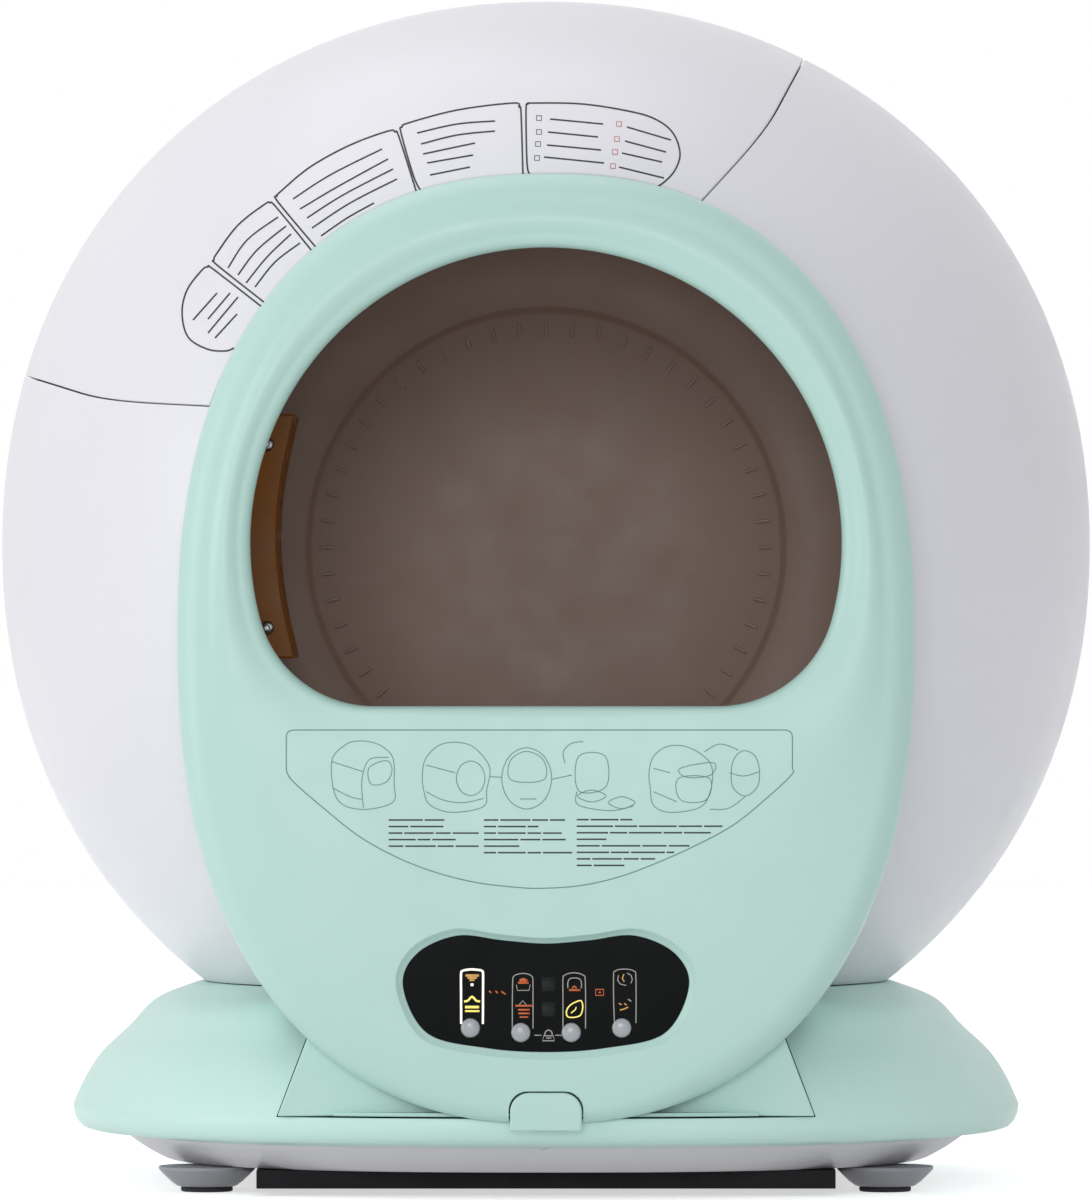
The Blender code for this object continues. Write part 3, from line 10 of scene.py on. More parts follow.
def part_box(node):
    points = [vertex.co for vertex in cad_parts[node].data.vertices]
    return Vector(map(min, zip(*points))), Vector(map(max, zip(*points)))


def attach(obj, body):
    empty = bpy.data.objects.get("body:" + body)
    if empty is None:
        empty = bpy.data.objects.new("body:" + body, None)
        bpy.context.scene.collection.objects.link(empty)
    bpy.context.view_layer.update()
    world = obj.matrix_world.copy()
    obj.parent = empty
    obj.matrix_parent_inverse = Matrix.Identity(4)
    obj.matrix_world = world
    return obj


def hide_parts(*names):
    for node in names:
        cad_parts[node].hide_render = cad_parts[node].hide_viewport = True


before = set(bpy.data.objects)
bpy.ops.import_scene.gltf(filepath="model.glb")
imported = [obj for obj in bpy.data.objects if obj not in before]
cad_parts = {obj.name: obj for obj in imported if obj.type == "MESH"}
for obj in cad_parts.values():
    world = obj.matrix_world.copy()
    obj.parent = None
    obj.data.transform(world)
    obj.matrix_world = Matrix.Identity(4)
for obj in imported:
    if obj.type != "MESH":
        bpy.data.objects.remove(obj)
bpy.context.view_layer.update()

MM = 0.001
SCENE = bpy.context.scene

# The object's own sizes, as the CAD has them
BALL_RADIUS = 299.6 * MM
BALL_HALF_DEPTH = 269.7 * MM
BALL_CENTRE_Z = 349 * MM
BALL_POWER = 2.1
BALL_FOOT_Z = 110 * MM
MOUTH_RADIUS = 184 * MM
REAR_SEAM_Y = 30 * MM
HOOD_FROM_ANGLE = math.radians(62)
HOOD_TO_ANGLE = math.radians(162)
HOOD_CURL_ANGLE = math.radians(5)
HOOD_CURL_SHARE = 0.4
HOOD_BEZEL_GAP = 2 * MM
SEAM_GAP = 0.8 * MM
WALL = 3 * MM
# How far a dressed piece lies inside its CAD solid
INSET = 0.1 * MM

BASE_POWER = 2.6
BASE_WIDE_Z = 43 * MM
BASE_HALF_WIDTH = 259.7 * MM
BASE_HALF_DEPTH = 256.7 * MM
BASE_TOP_Z = 109.4 * MM
BASE_TOP_HALF_WIDTH = 189 * MM
BASE_TOP_HALF_DEPTH = 163 * MM
BASE_RIM_Z = 31 * MM
COVER_UNDER_Z = 28.5 * MM

BEZEL_HALF_WIDTH = 194.8 * MM
BEZEL_RISE = 244.8 * MM
BEZEL_DROP = 256.8 * MM
BEZEL_CENTRE_Z = 299.5 * MM
BEZEL_POWER = 2.35
BEZEL_FACE_Y = -267 * MM
BEZEL_CROWN = 2.9 * MM
BEZEL_EYE_Z = 325 * MM
BEZEL_EDGE = 16 * MM
BEZEL_DEEPEST_Y = -150 * MM
WINDOW_RADIUS = 156 * MM
WINDOW_DROP = 86 * MM
WINDOW_CORNER = 62 * MM
WINDOW_LIP = 7 * MM
WINDOW_LIP_DEPTH = 36 * MM

DRAWER_LOW_Z = 45.6 * MM
DRAWER_TOP_Z = 99 * MM
DRAWER_LOW_HALF = 142.4 * MM
DRAWER_TOP_HALF = 122 * MM
DRAWER_FRONT_Y = -240 * MM
DRAWER_FRONT = 8 * MM

PANEL_HALF_WIDTH = 75 * MM
PANEL_HALF_HEIGHT = 30.6 * MM
PANEL_CENTRE_Z = 111.7 * MM
GLASS_FRONT_Y = -265 * MM
GLASS_DEPTH = 3 * MM
BEAN_HALF_SHARES = ((0.0, 0.845), (0.3, 0.9), (0.62, 0.98), (0.9, 0.68), (1.0, 0.12),
                    (0.83, -0.68), (0.42, -0.93), (0.0, -1.0))
BUTTON_RADIUS = 5.2 * MM
BUTTON_PITCH = 26.6 * MM
BUTTON_LOW_Z = 91 * MM
BUTTON_STEP_Z = 2.4 * MM
BUTTON_GAP = 0.45 * MM

# Edges that turn by more degrees than this are rounded, on plain pieces and on finely curved ones
PLAIN_TURN = 40
CURVED_TURN = 50
WELD_DISTANCE = 0.01 * MM
FLAT_ANGLE = math.radians(0.5)
TURN_COLUMNS = 64


def srgb(red, green, blue):
    """A colour written 0 to 255, as the linear values that a shader takes."""
    return tuple(((value / 255 + 0.055) / 1.055) ** 2.4 if value > 10 else value / 255 / 12.92
                 for value in (red, green, blue)) + (1.0,)


def node_material(name):
    """A material and its Principled shader."""
    material = bpy.data.materials.new(name)
    material.use_nodes = True
    return material, material.node_tree.nodes["Principled BSDF"]


def feed(node, inputs):
    """Set a node's inputs by name or number, or link them where an output is given."""
    for name, value in inputs.items():
        if isinstance(value, bpy.types.NodeSocket):
            node.id_data.links.new(value, node.inputs[name])
        else:
            node.inputs[name].default_value = value
    return node


def add_node(beside, kind, inputs):
    """A new node in the same tree as another, with its inputs fed."""
    return feed(beside.id_data.nodes.new("ShaderNode" + kind), inputs)


def noise(shader, scale, detail=3, roughness=0.5):
    """A noise texture on the object's own coordinates, beside a shader."""
    place = add_node(shader, "TexCoord", {}).outputs["Object"]
    return add_node(shader, "TexNoise", {"Scale": scale, "Detail": detail, "Roughness": roughness,
                                         "Vector": place}).outputs["Fac"]


def drive(shader, socket, source, low, high, low_at=0.3, high_at=0.7):
    """A shader's socket led by a texture through a ramp between two values."""
    ramp = add_node(shader, "ValToRGB", {"Fac": source})
    first, last = ramp.color_ramp.elements
    first.position, first.color = low_at, low
    last.position, last.color = high_at, high
    feed(shader, {socket: ramp.outputs["Color"]})


def drive_roughness(shader, source, low, high):
    """Uneven gloss from a texture."""
    drive(shader, "Roughness", source, grey(low), grey(high))


def grey(value):
    """A grey for a ramp that drives a number."""
    return (value, value, value, 1)


def tint(colour, factor):
    """A colour made lighter or darker."""
    return tuple(channel * factor for channel in colour[:3]) + (1.0,)


def bump(shader, source, strength, distance=0.1 * MM):
    """Fine relief from a texture."""
    relief = add_node(shader, "Bump", {"Strength": strength, "Distance": distance, "Height": source})
    feed(shader, {"Normal": relief.outputs["Normal"]})


def plastic(name, colour, roughness, grain=0.12, grain_scale=900, spread=0.03, coat=0, gloss_spread=0.06,
            specular=0.5):
    """Moulded plastic: a slow drift of tone, uneven gloss and a fine moulded grain."""
    material, shader = node_material(name)
    tone = noise(shader, scale=6, detail=4)
    drive(shader, "Base Color", tone, tint(colour, 1 - spread), tint(colour, 1 + spread))
    sheen = noise(shader, scale=38, detail=5, roughness=0.6)
    drive_roughness(shader, sheen, roughness - gloss_spread, roughness + gloss_spread)
    feed(shader, {"Specular IOR Level": specular, "Coat Weight": coat, "Coat Roughness": 0.12})
    bump(shader, noise(shader, scale=grain_scale, detail=2), grain)
    return material


def metal(name, colour, roughness, scale=220):
    """Plated steel with faint drawn streaks."""
    material, shader = node_material(name)
    streaks = noise(shader, scale=scale, detail=6, roughness=0.7)
    drive(shader, "Base Color", streaks, tint(colour, 0.88), tint(colour, 1.08))
    drive_roughness(shader, streaks, roughness * 0.8, roughness * 1.3)
    feed(shader, {"Metallic": 1})
    bump(shader, streaks, 0.08)
    return material


def rubber(name, colour):
    """Matte rubber with a dusty, slightly worn surface."""
    material, shader = node_material(name)
    dust = noise(shader, scale=120, detail=6, roughness=0.7)
    drive(shader, "Base Color", dust, colour, tint(colour, 2.2), 0.35, 0.8)
    drive_roughness(shader, dust, 0.7, 0.92)
    bump(shader, noise(shader, scale=700, detail=3), 0.3)
    return material


def clear_plastic(name, colour, roughness, weight, specular=0.2):
    """Tinted see-through plastic, slightly cloudy."""
    material, shader = node_material(name)
    cloud = noise(shader, scale=24, detail=5)
    drive(shader, "Base Color", cloud, tint(colour, 0.8), tint(colour, 1.15))
    drive_roughness(shader, cloud, roughness * 0.7, roughness * 1.4)
    feed(shader, {"Transmission Weight": weight, "Specular IOR Level": specular, "IOR": 1.46})
    bump(shader, noise(shader, scale=400, detail=3), 0.05)
    return material


def glow(name, colour, strength):
    """A lit mark behind the panel's glass."""
    material, shader = node_material(name)
    speck = noise(shader, scale=900, detail=2)
    for socket in ("Base Color", "Emission Color"):
        drive(shader, socket, speck, tint(colour, 0.75), colour, 0.2)
    feed(shader, {"Emission Strength": strength, "Roughness": 0.4})
    return material


def ink(name, colour):
    """Printed ink with slightly uneven cover."""
    material, shader = node_material(name)
    cover = noise(shader, scale=1500, detail=3)
    drive(shader, "Base Color", cover, colour, tint(colour, 1.5), 0.3, 0.75)
    drive_roughness(shader, cover, 0.45, 0.6)
    return material


SHELL = plastic("shell_white", srgb(237, 235, 240), 0.36, grain=0.1, spread=0.012)
MINT = plastic("mint", srgb(192, 227, 217), 0.42, grain=0.14, spread=0.015)
MINT_BASE = plastic("mint_base", srgb(209, 242, 232), 0.42, grain=0.14, spread=0.015)
SKIRT = plastic("skirt_grey", srgb(232, 227, 231), 0.42, spread=0.02)
FOOT = plastic("foot_grey", srgb(160, 160, 166), 0.45, spread=0.03)
# Black plastic. The same black is also painted on the underside plate as the shadow under the base between
# the feet.
BLACK_AND_PAINTED_SHADOW = plastic("black_plastic", srgb(25, 25, 27), 0.55, grain=0.25, grain_scale=600, spread=0.1,
                specular=0.12)
GLASS = plastic("panel_gloss", srgb(8, 12, 12), 0.14, grain=0, spread=0.08, coat=0, gloss_spread=0.03,
                specular=0.06)
KEY = plastic("key_silver", srgb(168, 172, 176), 0.32, grain=0.1, spread=0.04, coat=0.4)
DRUM = plastic("drum_smoke", srgb(190, 164, 151), 0.5, grain=0.2, grain_scale=500, spread=0.05)
GEAR = plastic("gear_acetal", srgb(224, 222, 212), 0.45, spread=0.03)
AMBER = clear_plastic("amber", srgb(180, 110, 32), 0.34, 0.15)
STEEL = metal("zinc_steel", srgb(186, 188, 190), 0.32)
BOARD = plastic("solder_mask", srgb(22, 92, 48), 0.4, grain=0.3, grain_scale=500, spread=0.15)
RUBBER = rubber("black_rubber", srgb(28, 28, 29))
INK = ink("print_grey", srgb(34, 36, 38))
INK_FAINT = ink("print_faint", srgb(112, 138, 134))
INK_RED = ink("print_red", srgb(186, 92, 84))
LIT_WHITE = glow("lit_white", srgb(250, 245, 228), 0.9)
LIT_YELLOW = glow("lit_yellow", srgb(238, 220, 110), 0.75)
LIT_AMBER = glow("lit_amber", srgb(196, 150, 84), 0.5)
LIT_ORANGE = glow("lit_orange", srgb(184, 88, 40), 0.42)
LIT_DIM = glow("lit_dim", srgb(158, 154, 150), 0.3)
DISPLAY = plastic("display_dark", srgb(40, 43, 42), 0.4, grain=0.05, spread=0.1, specular=0.1)


def placed(name, data):
    """An object of a mesh, curve, light or camera, put into the scene."""
    made = bpy.data.objects.new(name, data)
    SCENE.collection.objects.link(made)
    return made


def link(name, mesh, material, body, nodes=()):
    """A finished mesh as a piece that rides on its body and stands for its nodes."""
    mesh.shade_smooth()
    mesh.materials.clear()
    mesh.materials.append(material)
    piece = placed(name, mesh)
    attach(piece, body)
    if nodes:
        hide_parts(*nodes)
    return piece


def mesh_of(name, verts, faces):
    """A mesh from points and faces."""
    mesh = bpy.data.meshes.new(name)
    mesh.from_pydata(verts, [], faces)
    mesh.update()
    return mesh


def grid_mesh(name, rows, closed, last_point=None):
    """A mesh through rows of points."""
    columns = len(rows[0])
    verts = [point for row in rows for point in row]
    faces = []
    for row in range(len(rows) - 1):
        for column in range(columns if closed else columns - 1):
            following = (column + 1) % columns
            faces.append((row * columns + column, (row + 1) * columns + column,
                          (row + 1) * columns + following, row * columns + following))
    if last_point is not None:
        first = (len(rows) - 1) * columns
        verts.append(last_point)
        faces += [(first + column, len(verts) - 1, first + (column + 1) % columns)
                  for column in range(columns)]
    return mesh_of(name, verts, faces)


def modify(piece, kind, **settings):
    """Give a piece a modifier with its settings."""
    step = piece.modifiers.new(kind.lower(), kind)
    for name, value in settings.items():
        setattr(step, name, value)


def solidify(piece, wall):
    """Give a skin its wall, inward."""
    modify(piece, "SOLIDIFY", thickness=wall, offset=-1)


def bevel(piece, width, segments=3, angle=PLAIN_TURN):
    """Round a piece's sharp edges and even out its shading."""
    modify(piece, "BEVEL", width=width, segments=segments, limit_method="ANGLE",
           angle_limit=math.radians(angle), use_clamp_overlap=True, harden_normals=True)


def settle(piece):
    """Make an object's modifiers part of its mesh."""
    seen = piece.evaluated_get(bpy.context.evaluated_depsgraph_get())
    mesh = bpy.data.meshes.new_from_object(seen)
    piece.modifiers.clear()
    piece.data = mesh


def cut(piece, tool):
    """Take a tool's form out of a piece, with the tool thrown away after."""
    modify(piece, "BOOLEAN", operation="DIFFERENCE", solver="EXACT", object=tool)
    bpy.context.view_layer.update()
    settle(piece)
    bpy.data.objects.remove(tool, do_unlink=True)


def worked(mesh, *steps):
    """A mesh after steps that each change it, with its faces turned outward."""
    bm = bmesh.new()
    bm.from_mesh(mesh)
    for step in steps:
        step(bm)
    bmesh.ops.recalc_face_normals(bm, faces=bm.faces)
    bm.to_mesh(mesh)
    bm.free()
    return mesh


def weld(bm):
    """Join points that lie in one place."""
    bmesh.ops.remove_doubles(bm, verts=bm.verts, dist=WELD_DISTANCE)


def flatten(bm):
    """Join faces that lie in one plane."""
    bmesh.ops.dissolve_limit(bm, angle_limit=FLAT_ANGLE, verts=bm.verts, edges=bm.edges)


def close_ends(bm):
    """Fill the open ends."""
    bmesh.ops.holes_fill(bm, edges=[edge for edge in bm.edges if edge.is_boundary])


def add_block(bm, middle, size):
    """Add a block, and give back its points."""
    made = bmesh.ops.create_cube(bm, size=1)["verts"]
    bmesh.ops.scale(bm, vec=size, verts=made)
    bmesh.ops.translate(bm, vec=middle, verts=made)
    return made


def finished(name, bm):
    """The mesh of what was built."""
    mesh = bpy.data.meshes.new(name)
    bm.to_mesh(mesh)
    bm.free()
    return mesh


def tool_box(low, high):
    """A box that only cuts."""
    low, high = Vector(low), Vector(high)
    bm = bmesh.new()
    add_block(bm, (low + high) / 2, high - low)
    return placed("tool", finished("tool", bm))


def tool_prism(outline, front_y, depth):
    """A prism that only cuts."""
    return placed("tool", prism_mesh("tool", [outline], front_y, depth))


def prism_mesh(name, outlines, front_y, depth):
    """A mesh of outlines in X and Z, run back along Y.  Outlines after the first are holes."""
    curve = bpy.data.curves.new(name, "CURVE")
    curve.dimensions = "2D"
    curve.fill_mode = "BOTH"
    curve.extrude = depth / 2
    for outline in outlines:
        spline = curve.splines.new("POLY")
        spline.points.add(len(outline) - 1)
        for point, (across, up) in zip(spline.points, outline):
            point.co = (across, up, 0, 1)
        spline.use_cyclic_u = True
    drawn = placed(name, curve)
    drawn.rotation_euler = (math.radians(90), 0, 0)
    drawn.location = (0, front_y + depth / 2, 0)
    bpy.context.view_layer.update()
    mesh = bpy.data.meshes.new_from_object(drawn.evaluated_get(bpy.context.evaluated_depsgraph_get()))
    mesh.transform(drawn.matrix_world)
    bpy.data.objects.remove(drawn, do_unlink=True)
    return worked(mesh, weld, flatten)


def turned_mesh(name, profile, steps, centre=(0, 0, BALL_CENTRE_Z), closed=False, upright=False):
    """A mesh turned about a line through centre, from points of (radius, place along the line).
    The line runs along Y, or upright."""
    rows = []
    for radius, along in profile:
        row = []
        for step in range(steps):
            angle = math.tau * step / steps
            first, second = radius * math.cos(angle), radius * math.sin(angle)
            offset = (first, second, along) if upright else (first, along, second)
            row.append(tuple(middle + part for middle, part in zip(centre, offset)))
        rows.append(row)
    if closed:
        rows.append(rows[0])
    return worked(grid_mesh(name, rows, True), weld)


def tool_bar(radius, across, up, front_y, depth):
    """A round bar along Y that only cuts."""
    profile = [(0, 0), (radius, 0), (radius, depth), (0, depth)]
    return placed("tool", turned_mesh("tool", profile, TURN_COLUMNS, (across, front_y, up)))


def mm(*points):
    """Points written in millimetres, in metres."""
    return [tuple(value * MM for value in point) for point in points]


def arc(radius, start, end, count, across=0, up=BALL_CENTRE_Z):
    """Points of an arc in X and Z, ends included."""
    return [(across + radius * math.cos(start + (end - start) * step / count),
             up + radius * math.sin(start + (end - start) * step / count)) for step in range(count + 1)]


def smooth_loop(points, parts, closed=True):
    """A Catmull-Rom curve through points, with parts steps from one to the next."""
    loop = []
    count = len(points)
    for index in range(count if closed else count - 1):
        places = [(index + shift) % count if closed else min(max(index + shift, 0), count - 1)
                  for shift in (-1, 0, 1, 2)]
        before, start, end, after = (Vector(points[place]) for place in places)
        for step in range(parts):
            t = step / parts
            loop.append(tuple(0.5 * (2 * start + (end - before) * t
                                     + (2 * before - 5 * start + 4 * end - after) * t ** 2
                                     + (3 * start - before - 3 * end + after) * t ** 3)))
    if not closed:
        loop.append(tuple(points[-1]))
    return loop


# The ball

SHELL_EDGE = 1.1 * MM
PATCH_ROWS = 30
PATCH_STEP = 2.5
REAR_COLUMNS = 144
BELOW_BALL = ((-400 * MM, -400 * MM, -100 * MM), (400 * MM, 400 * MM, BALL_FOOT_Z))


def fullness(angle):
    """How much further than a circle the ball's outline lies at an angle."""
    return (abs(math.cos(angle)) ** BALL_POWER + abs(math.sin(angle)) ** BALL_POWER) ** (-1 / BALL_POWER)


def ball_point(spread, angle):
    """A point of the ball's outer face: spread is measured from the front pole."""
    reach = BALL_RADIUS * math.sin(spread) * fullness(angle)
    return (reach * math.cos(angle), -BALL_HALF_DEPTH * math.cos(spread),
            BALL_CENTRE_Z + reach * math.sin(angle))


def ball_front_y(across, up, inset=0):
    """Where the ball's face lies in front of a point in X and Z."""
    reach = (abs(across) ** BALL_POWER + abs(up - BALL_CENTRE_Z) ** BALL_POWER) ** (1 / BALL_POWER)
    share = min(reach / (BALL_RADIUS - inset), 1)
    return -(BALL_HALF_DEPTH - inset) * math.sqrt(1 - share ** 2)


def spread_at(along):
    """The spread at which the ball's face reaches a place along Y."""
    return math.acos(-along / BALL_HALF_DEPTH)


MOUTH_SPREAD = math.asin(MOUTH_RADIUS / BALL_RADIUS)
SEAM_SPREAD = spread_at(REAR_SEAM_Y)
SEAM_HALF_ANGLE = SEAM_GAP / MOUTH_RADIUS / 2


def mouth_spread(angle):
    """The spread of the mouth's round edge."""
    return MOUTH_SPREAD


def hood_spread(angle):
    """The spread of the hood's front edge, which runs round the bezel's outline."""
    reach = outline_reach(inside_bezel, angle, BALL_CENTRE_Z) + HOOD_BEZEL_GAP
    return math.asin(reach / (BALL_RADIUS * fullness(angle)))


def ball_patch(from_angle, to_angle, curl_sign, front_spread):
    """Rows of ball points from a front edge to the rear seam, between two seams that curl by the mouth."""
    rows = []
    columns = math.ceil(math.degrees(to_angle - from_angle) / PATCH_STEP)
    for row in range(PATCH_ROWS + 1):
        points = []
        for column in range(columns + 1):
            angle = from_angle + (to_angle - from_angle) * column / columns
            near = front_spread(angle)
            spread = near + (SEAM_SPREAD - near) * row / PATCH_ROWS
            share = (spread - MOUTH_SPREAD) / (SEAM_SPREAD - MOUTH_SPREAD)
            curl = curl_sign * HOOD_CURL_ANGLE * max(0, 1 - share / HOOD_CURL_SHARE) ** 2
            curl += SEAM_HALF_ANGLE * math.sin(MOUTH_SPREAD) / math.sin(spread)
            points.append(ball_point(spread, angle + curl * (1 - 2 * column / columns)))
        rows.append(points)
    return rows


def build_shell(name, node, mesh, body):
    """One shell of the ball with its wall and rounded edges, cut level where it stands in the base."""
    shell = link(name + "_moulding", mesh, SHELL, body, [node])
    solidify(shell, WALL)
    if body == "housing":
        cut(shell, tool_box(*BELOW_BALL))
    bevel(shell, SHELL_EDGE)


def build_ball():
    """The fixed shells and the lift-off hood."""
    front = ball_patch(HOOD_TO_ANGLE, HOOD_FROM_ANGLE + math.tau, -1, mouth_spread)
    build_shell("front_shell", "front_shell", grid_mesh("front_shell", front, False), "housing")
    hood = ball_patch(HOOD_FROM_ANGLE, HOOD_TO_ANGLE, 1, hood_spread)
    build_shell("hood", "hood_cover", grid_mesh("hood", hood, False), "hood")
    start = spread_at(REAR_SEAM_Y + SEAM_GAP)
    rear = [[ball_point(start + (math.pi - start) * row / PATCH_ROWS, column * math.tau / REAR_COLUMNS)
             for column in range(REAR_COLUMNS)] for row in range(PATCH_ROWS)]
    build_shell("rear_shell", "rear_shell",
                grid_mesh("rear", rear, True, (0, BALL_HALF_DEPTH, BALL_CENTRE_Z)), "housing")


# The base

# Shares of the way from the cover's widest ring to its top: up, in from the side, in from the front
COVER_SHARES = ((0.21, 0.09, 0.06), (0.42, 0.22, 0.20), (0.63, 0.43, 0.40), (0.84, 0.62, 0.62),
                (0.955, 0.87, 0.86), (1.0, 1.0, 1.0))
COVER_CURVE_STEPS = 5
COVER_EDGE = 0.9 * MM
COVER_TOP_INSET = 14 * MM
COVER_ROLL = 8 * MM
COVER_ROLL_STEPS = 4
COVER_UNDER_INSET = 28 * MM
DRAWER_GAP = 0.6 * MM
DRAWER_CUT_Y = -300 * MM
DRAWER_CUT_DEPTH = 220 * MM
INLET_X = -90 * MM
INLET_Z = 64 * MM
INLET_RADIUS = 7.4 * MM
INLET_CUT_Y = 100 * MM
INLET_CUT_DEPTH = 200 * MM

# Height and inset of the pan's rings, in millimetres
PAN_PROFILE = ((36, 28.6), (28.5, 28.6), (23, 35), (18, 43), (14.2, 51), (14, 58))
PAN_CURVE_STEPS = 4
PAN_LOW_Z = 14 * MM
PAN_FRONT_Y = -BASE_HALF_DEPTH + 28.6 * MM
GROOVE_HALF = 0.6 * MM
GROOVE_DEPTH = 1.2 * MM
GROOVE_LOW_Z = 17 * MM
GROOVE_CUT = 20 * MM

FOOT_X = 183 * MM
FOOT_Y = 128 * MM
FOOT_EDGE = 0.5 * MM
PAD_EDGE = 0.2 * MM
# Radius and height of the foot and its pad, in millimetres
FOOT_PROFILE = ((0, 13.7), (26, 13.7), (25.9, 12), (23, 9), (19.5, 5.6), (16.5, 3.4), (15, 2.8), (0, 2.8))
PAD_PROFILE = ((0, 2.5), (13.6, 2.5), (14, 2.1), (14, 0.5), (13.2, 0), (10, 0), (9.5, 0.5), (8.5, 0.5),
               (8, 0), (0, 0))


def base_ring(height, half_width, half_depth, columns=160):
    """Points of the base's plan at a height."""
    ring = []
    for column in range(columns):
        angle = math.tau * (column + 0.5) / columns
        across, along = math.cos(angle), math.sin(angle)
        reach = ((abs(across) / half_width) ** BASE_POWER + (abs(along) / half_depth) ** BASE_POWER)
        reach = reach ** (-1 / BASE_POWER)
        ring.append((reach * across, reach * along, height))
    return ring


def cover_profile():
    """Height, half width and half depth of the cover's rings, from its widest to its top."""
    knots = [(BASE_WIDE_Z, BASE_HALF_WIDTH, BASE_HALF_DEPTH)]
    for up_share, across_share, along_share in COVER_SHARES:
        knots.append((BASE_WIDE_Z + (BASE_TOP_Z - BASE_WIDE_Z) * up_share,
                      BASE_HALF_WIDTH - (BASE_HALF_WIDTH - BASE_TOP_HALF_WIDTH) * across_share,
                      BASE_HALF_DEPTH - (BASE_HALF_DEPTH - BASE_TOP_HALF_DEPTH) * along_share))
    return smooth_loop(knots, COVER_CURVE_STEPS, closed=False)


COVER_PROFILE = cover_profile()


def cover_front_y(across, up):
    """Where the base cover's slope lies in front of a point in X and Z, or 0 off the cover."""
    for low, high in zip(COVER_PROFILE, COVER_PROFILE[1:]):
        if low[0] <= up <= high[0]:
            share = (up - low[0]) / (high[0] - low[0])
            half_width = low[1] + (high[1] - low[1]) * share
            half_depth = low[2] + (high[2] - low[2]) * share
            inner = 1 - min(abs(across) / half_width, 1) ** BASE_POWER
            return -half_depth * inner ** (1 / BASE_POWER)
    return -BASE_HALF_DEPTH if up < BASE_WIDE_Z else 0


def drawer_outline(grow):
    """The trapezoid of the drawer's front, grown on all sides."""
    low, high = DRAWER_LOW_HALF + grow, DRAWER_TOP_HALF + grow
    return [(-low, DRAWER_LOW_Z - grow), (low, DRAWER_LOW_Z - grow),
            (high, DRAWER_TOP_Z + grow), (-high, DRAWER_TOP_Z + grow)]


def build_cover():
    """The base's cover, with the openings for the drawer and the power inlet."""
    rows = [base_ring(BASE_TOP_Z, BASE_TOP_HALF_WIDTH - COVER_TOP_INSET,
                      BASE_TOP_HALF_DEPTH - COVER_TOP_INSET)]
    rows += [base_ring(*size) for size in COVER_PROFILE[::-1]]
    for turn in range(1, COVER_ROLL_STEPS + 1):
        angle = math.pi / 2 * turn / COVER_ROLL_STEPS
        drop = (BASE_WIDE_Z - BASE_RIM_Z) * math.sin(angle)
        inset = COVER_ROLL * (1 - math.cos(angle))
        rows.append(base_ring(BASE_WIDE_Z - drop, BASE_HALF_WIDTH - inset, BASE_HALF_DEPTH - inset))
    rows.append(base_ring(COVER_UNDER_Z, BASE_HALF_WIDTH - COVER_UNDER_INSET,
                          BASE_HALF_DEPTH - COVER_UNDER_INSET))
    cover = link("base_cover_moulding", grid_mesh("cover", rows, True), MINT_BASE, "housing",
                 ["base_cover"])
    solidify(cover, WALL)
    cut(cover, tool_prism(drawer_outline(DRAWER_GAP), DRAWER_CUT_Y, DRAWER_CUT_DEPTH))
    cut(cover, tool_bar(INLET_RADIUS, INLET_X, INLET_Z, INLET_CUT_Y, INLET_CUT_DEPTH))
    bevel(cover, COVER_EDGE)


def build_pan():
    """The skirt under the cover, with the short groove in its front."""
    rows = [base_ring(max(height, PAN_LOW_Z), BASE_HALF_WIDTH - inset, BASE_HALF_DEPTH - inset)
            for height, inset in smooth_loop(mm(*PAN_PROFILE), PAN_CURVE_STEPS, closed=False)]
    pan = link("base_pan_moulding", grid_mesh("pan", rows, True, (0, 0, PAN_LOW_Z)), SKIRT,
               "housing", ["base_pan"])
    solidify(pan, WALL)
    cut(pan, tool_box((-GROOVE_HALF, PAN_FRONT_Y - GROOVE_CUT, GROOVE_LOW_Z),
                      (GROOVE_HALF, PAN_FRONT_Y + GROOVE_DEPTH, COVER_UNDER_Z)))


def build_foot(place, across, along):
    """One foot with its rubber pad."""
    for node, profile, material, slot, edge, segments in (
            ("foot_" + place, FOOT_PROFILE, FOOT, "foot", FOOT_EDGE, 3),
            ("foot_pad_" + place, PAD_PROFILE, RUBBER, "rubber", PAD_EDGE, 2)):
        mesh = turned_mesh(node, mm(*profile), TURN_COLUMNS, (across, along, 0), upright=True)
        bevel(link(node + "_moulding", mesh, material, "housing", [node]), edge, segments)


def build_base():
    """The cover, the skirt and the feet."""
    build_cover()
    build_pan()
    for side_name, side in (("left", -1), ("right", 1)):
        for end_name, end in (("front", -1), ("rear", 1)):
            build_foot(end_name + "_" + side_name, side * FOOT_X, end * FOOT_Y)


# The bezel and the control panel

BEZEL_COLUMNS = 224
BEZEL_EDGE_SHARE = 0.8
BEZEL_GAP = 0.8 * MM
BEZEL_ROUND = 0.8 * MM
REACH_HALVINGS = 40
LIP_BACK_SPREAD = 1.2 * MM
LIP_FRONT_SPREAD = 0.3 * MM
LIP_FRONT_DEPTH = 2 * WINDOW_LIP
FACE_CUT_Y = -290 * MM
PANEL_CUT_DEPTH = 32 * MM
TAB_CUT_DEPTH = 40 * MM
FACE_STEPS = 12
TURN_STEPS = 8
TAB_HALF = 19 * MM
TAB_TOP_Z = 59.4 * MM
TAB_LOW_Z = 39 * MM
TAB_CORNER = 10 * MM
TAB_GAP = 0.7 * MM
TAB_FRONT_Y = -268.4 * MM
TAB_DEPTH = 4.8 * MM
TAB_EDGE = 1.1 * MM
TAB_STEPS = 14
BEAN_STEPS = 10
GLASS_INSET = 0.05 * MM
GLASS_EDGE = 0.5 * MM
BUTTON_EDGE = 0.2 * MM
BUTTON_COLUMNS = 48

RIM_WIDTH = 4.2 * MM
RIM_SINK = 0.5 * MM
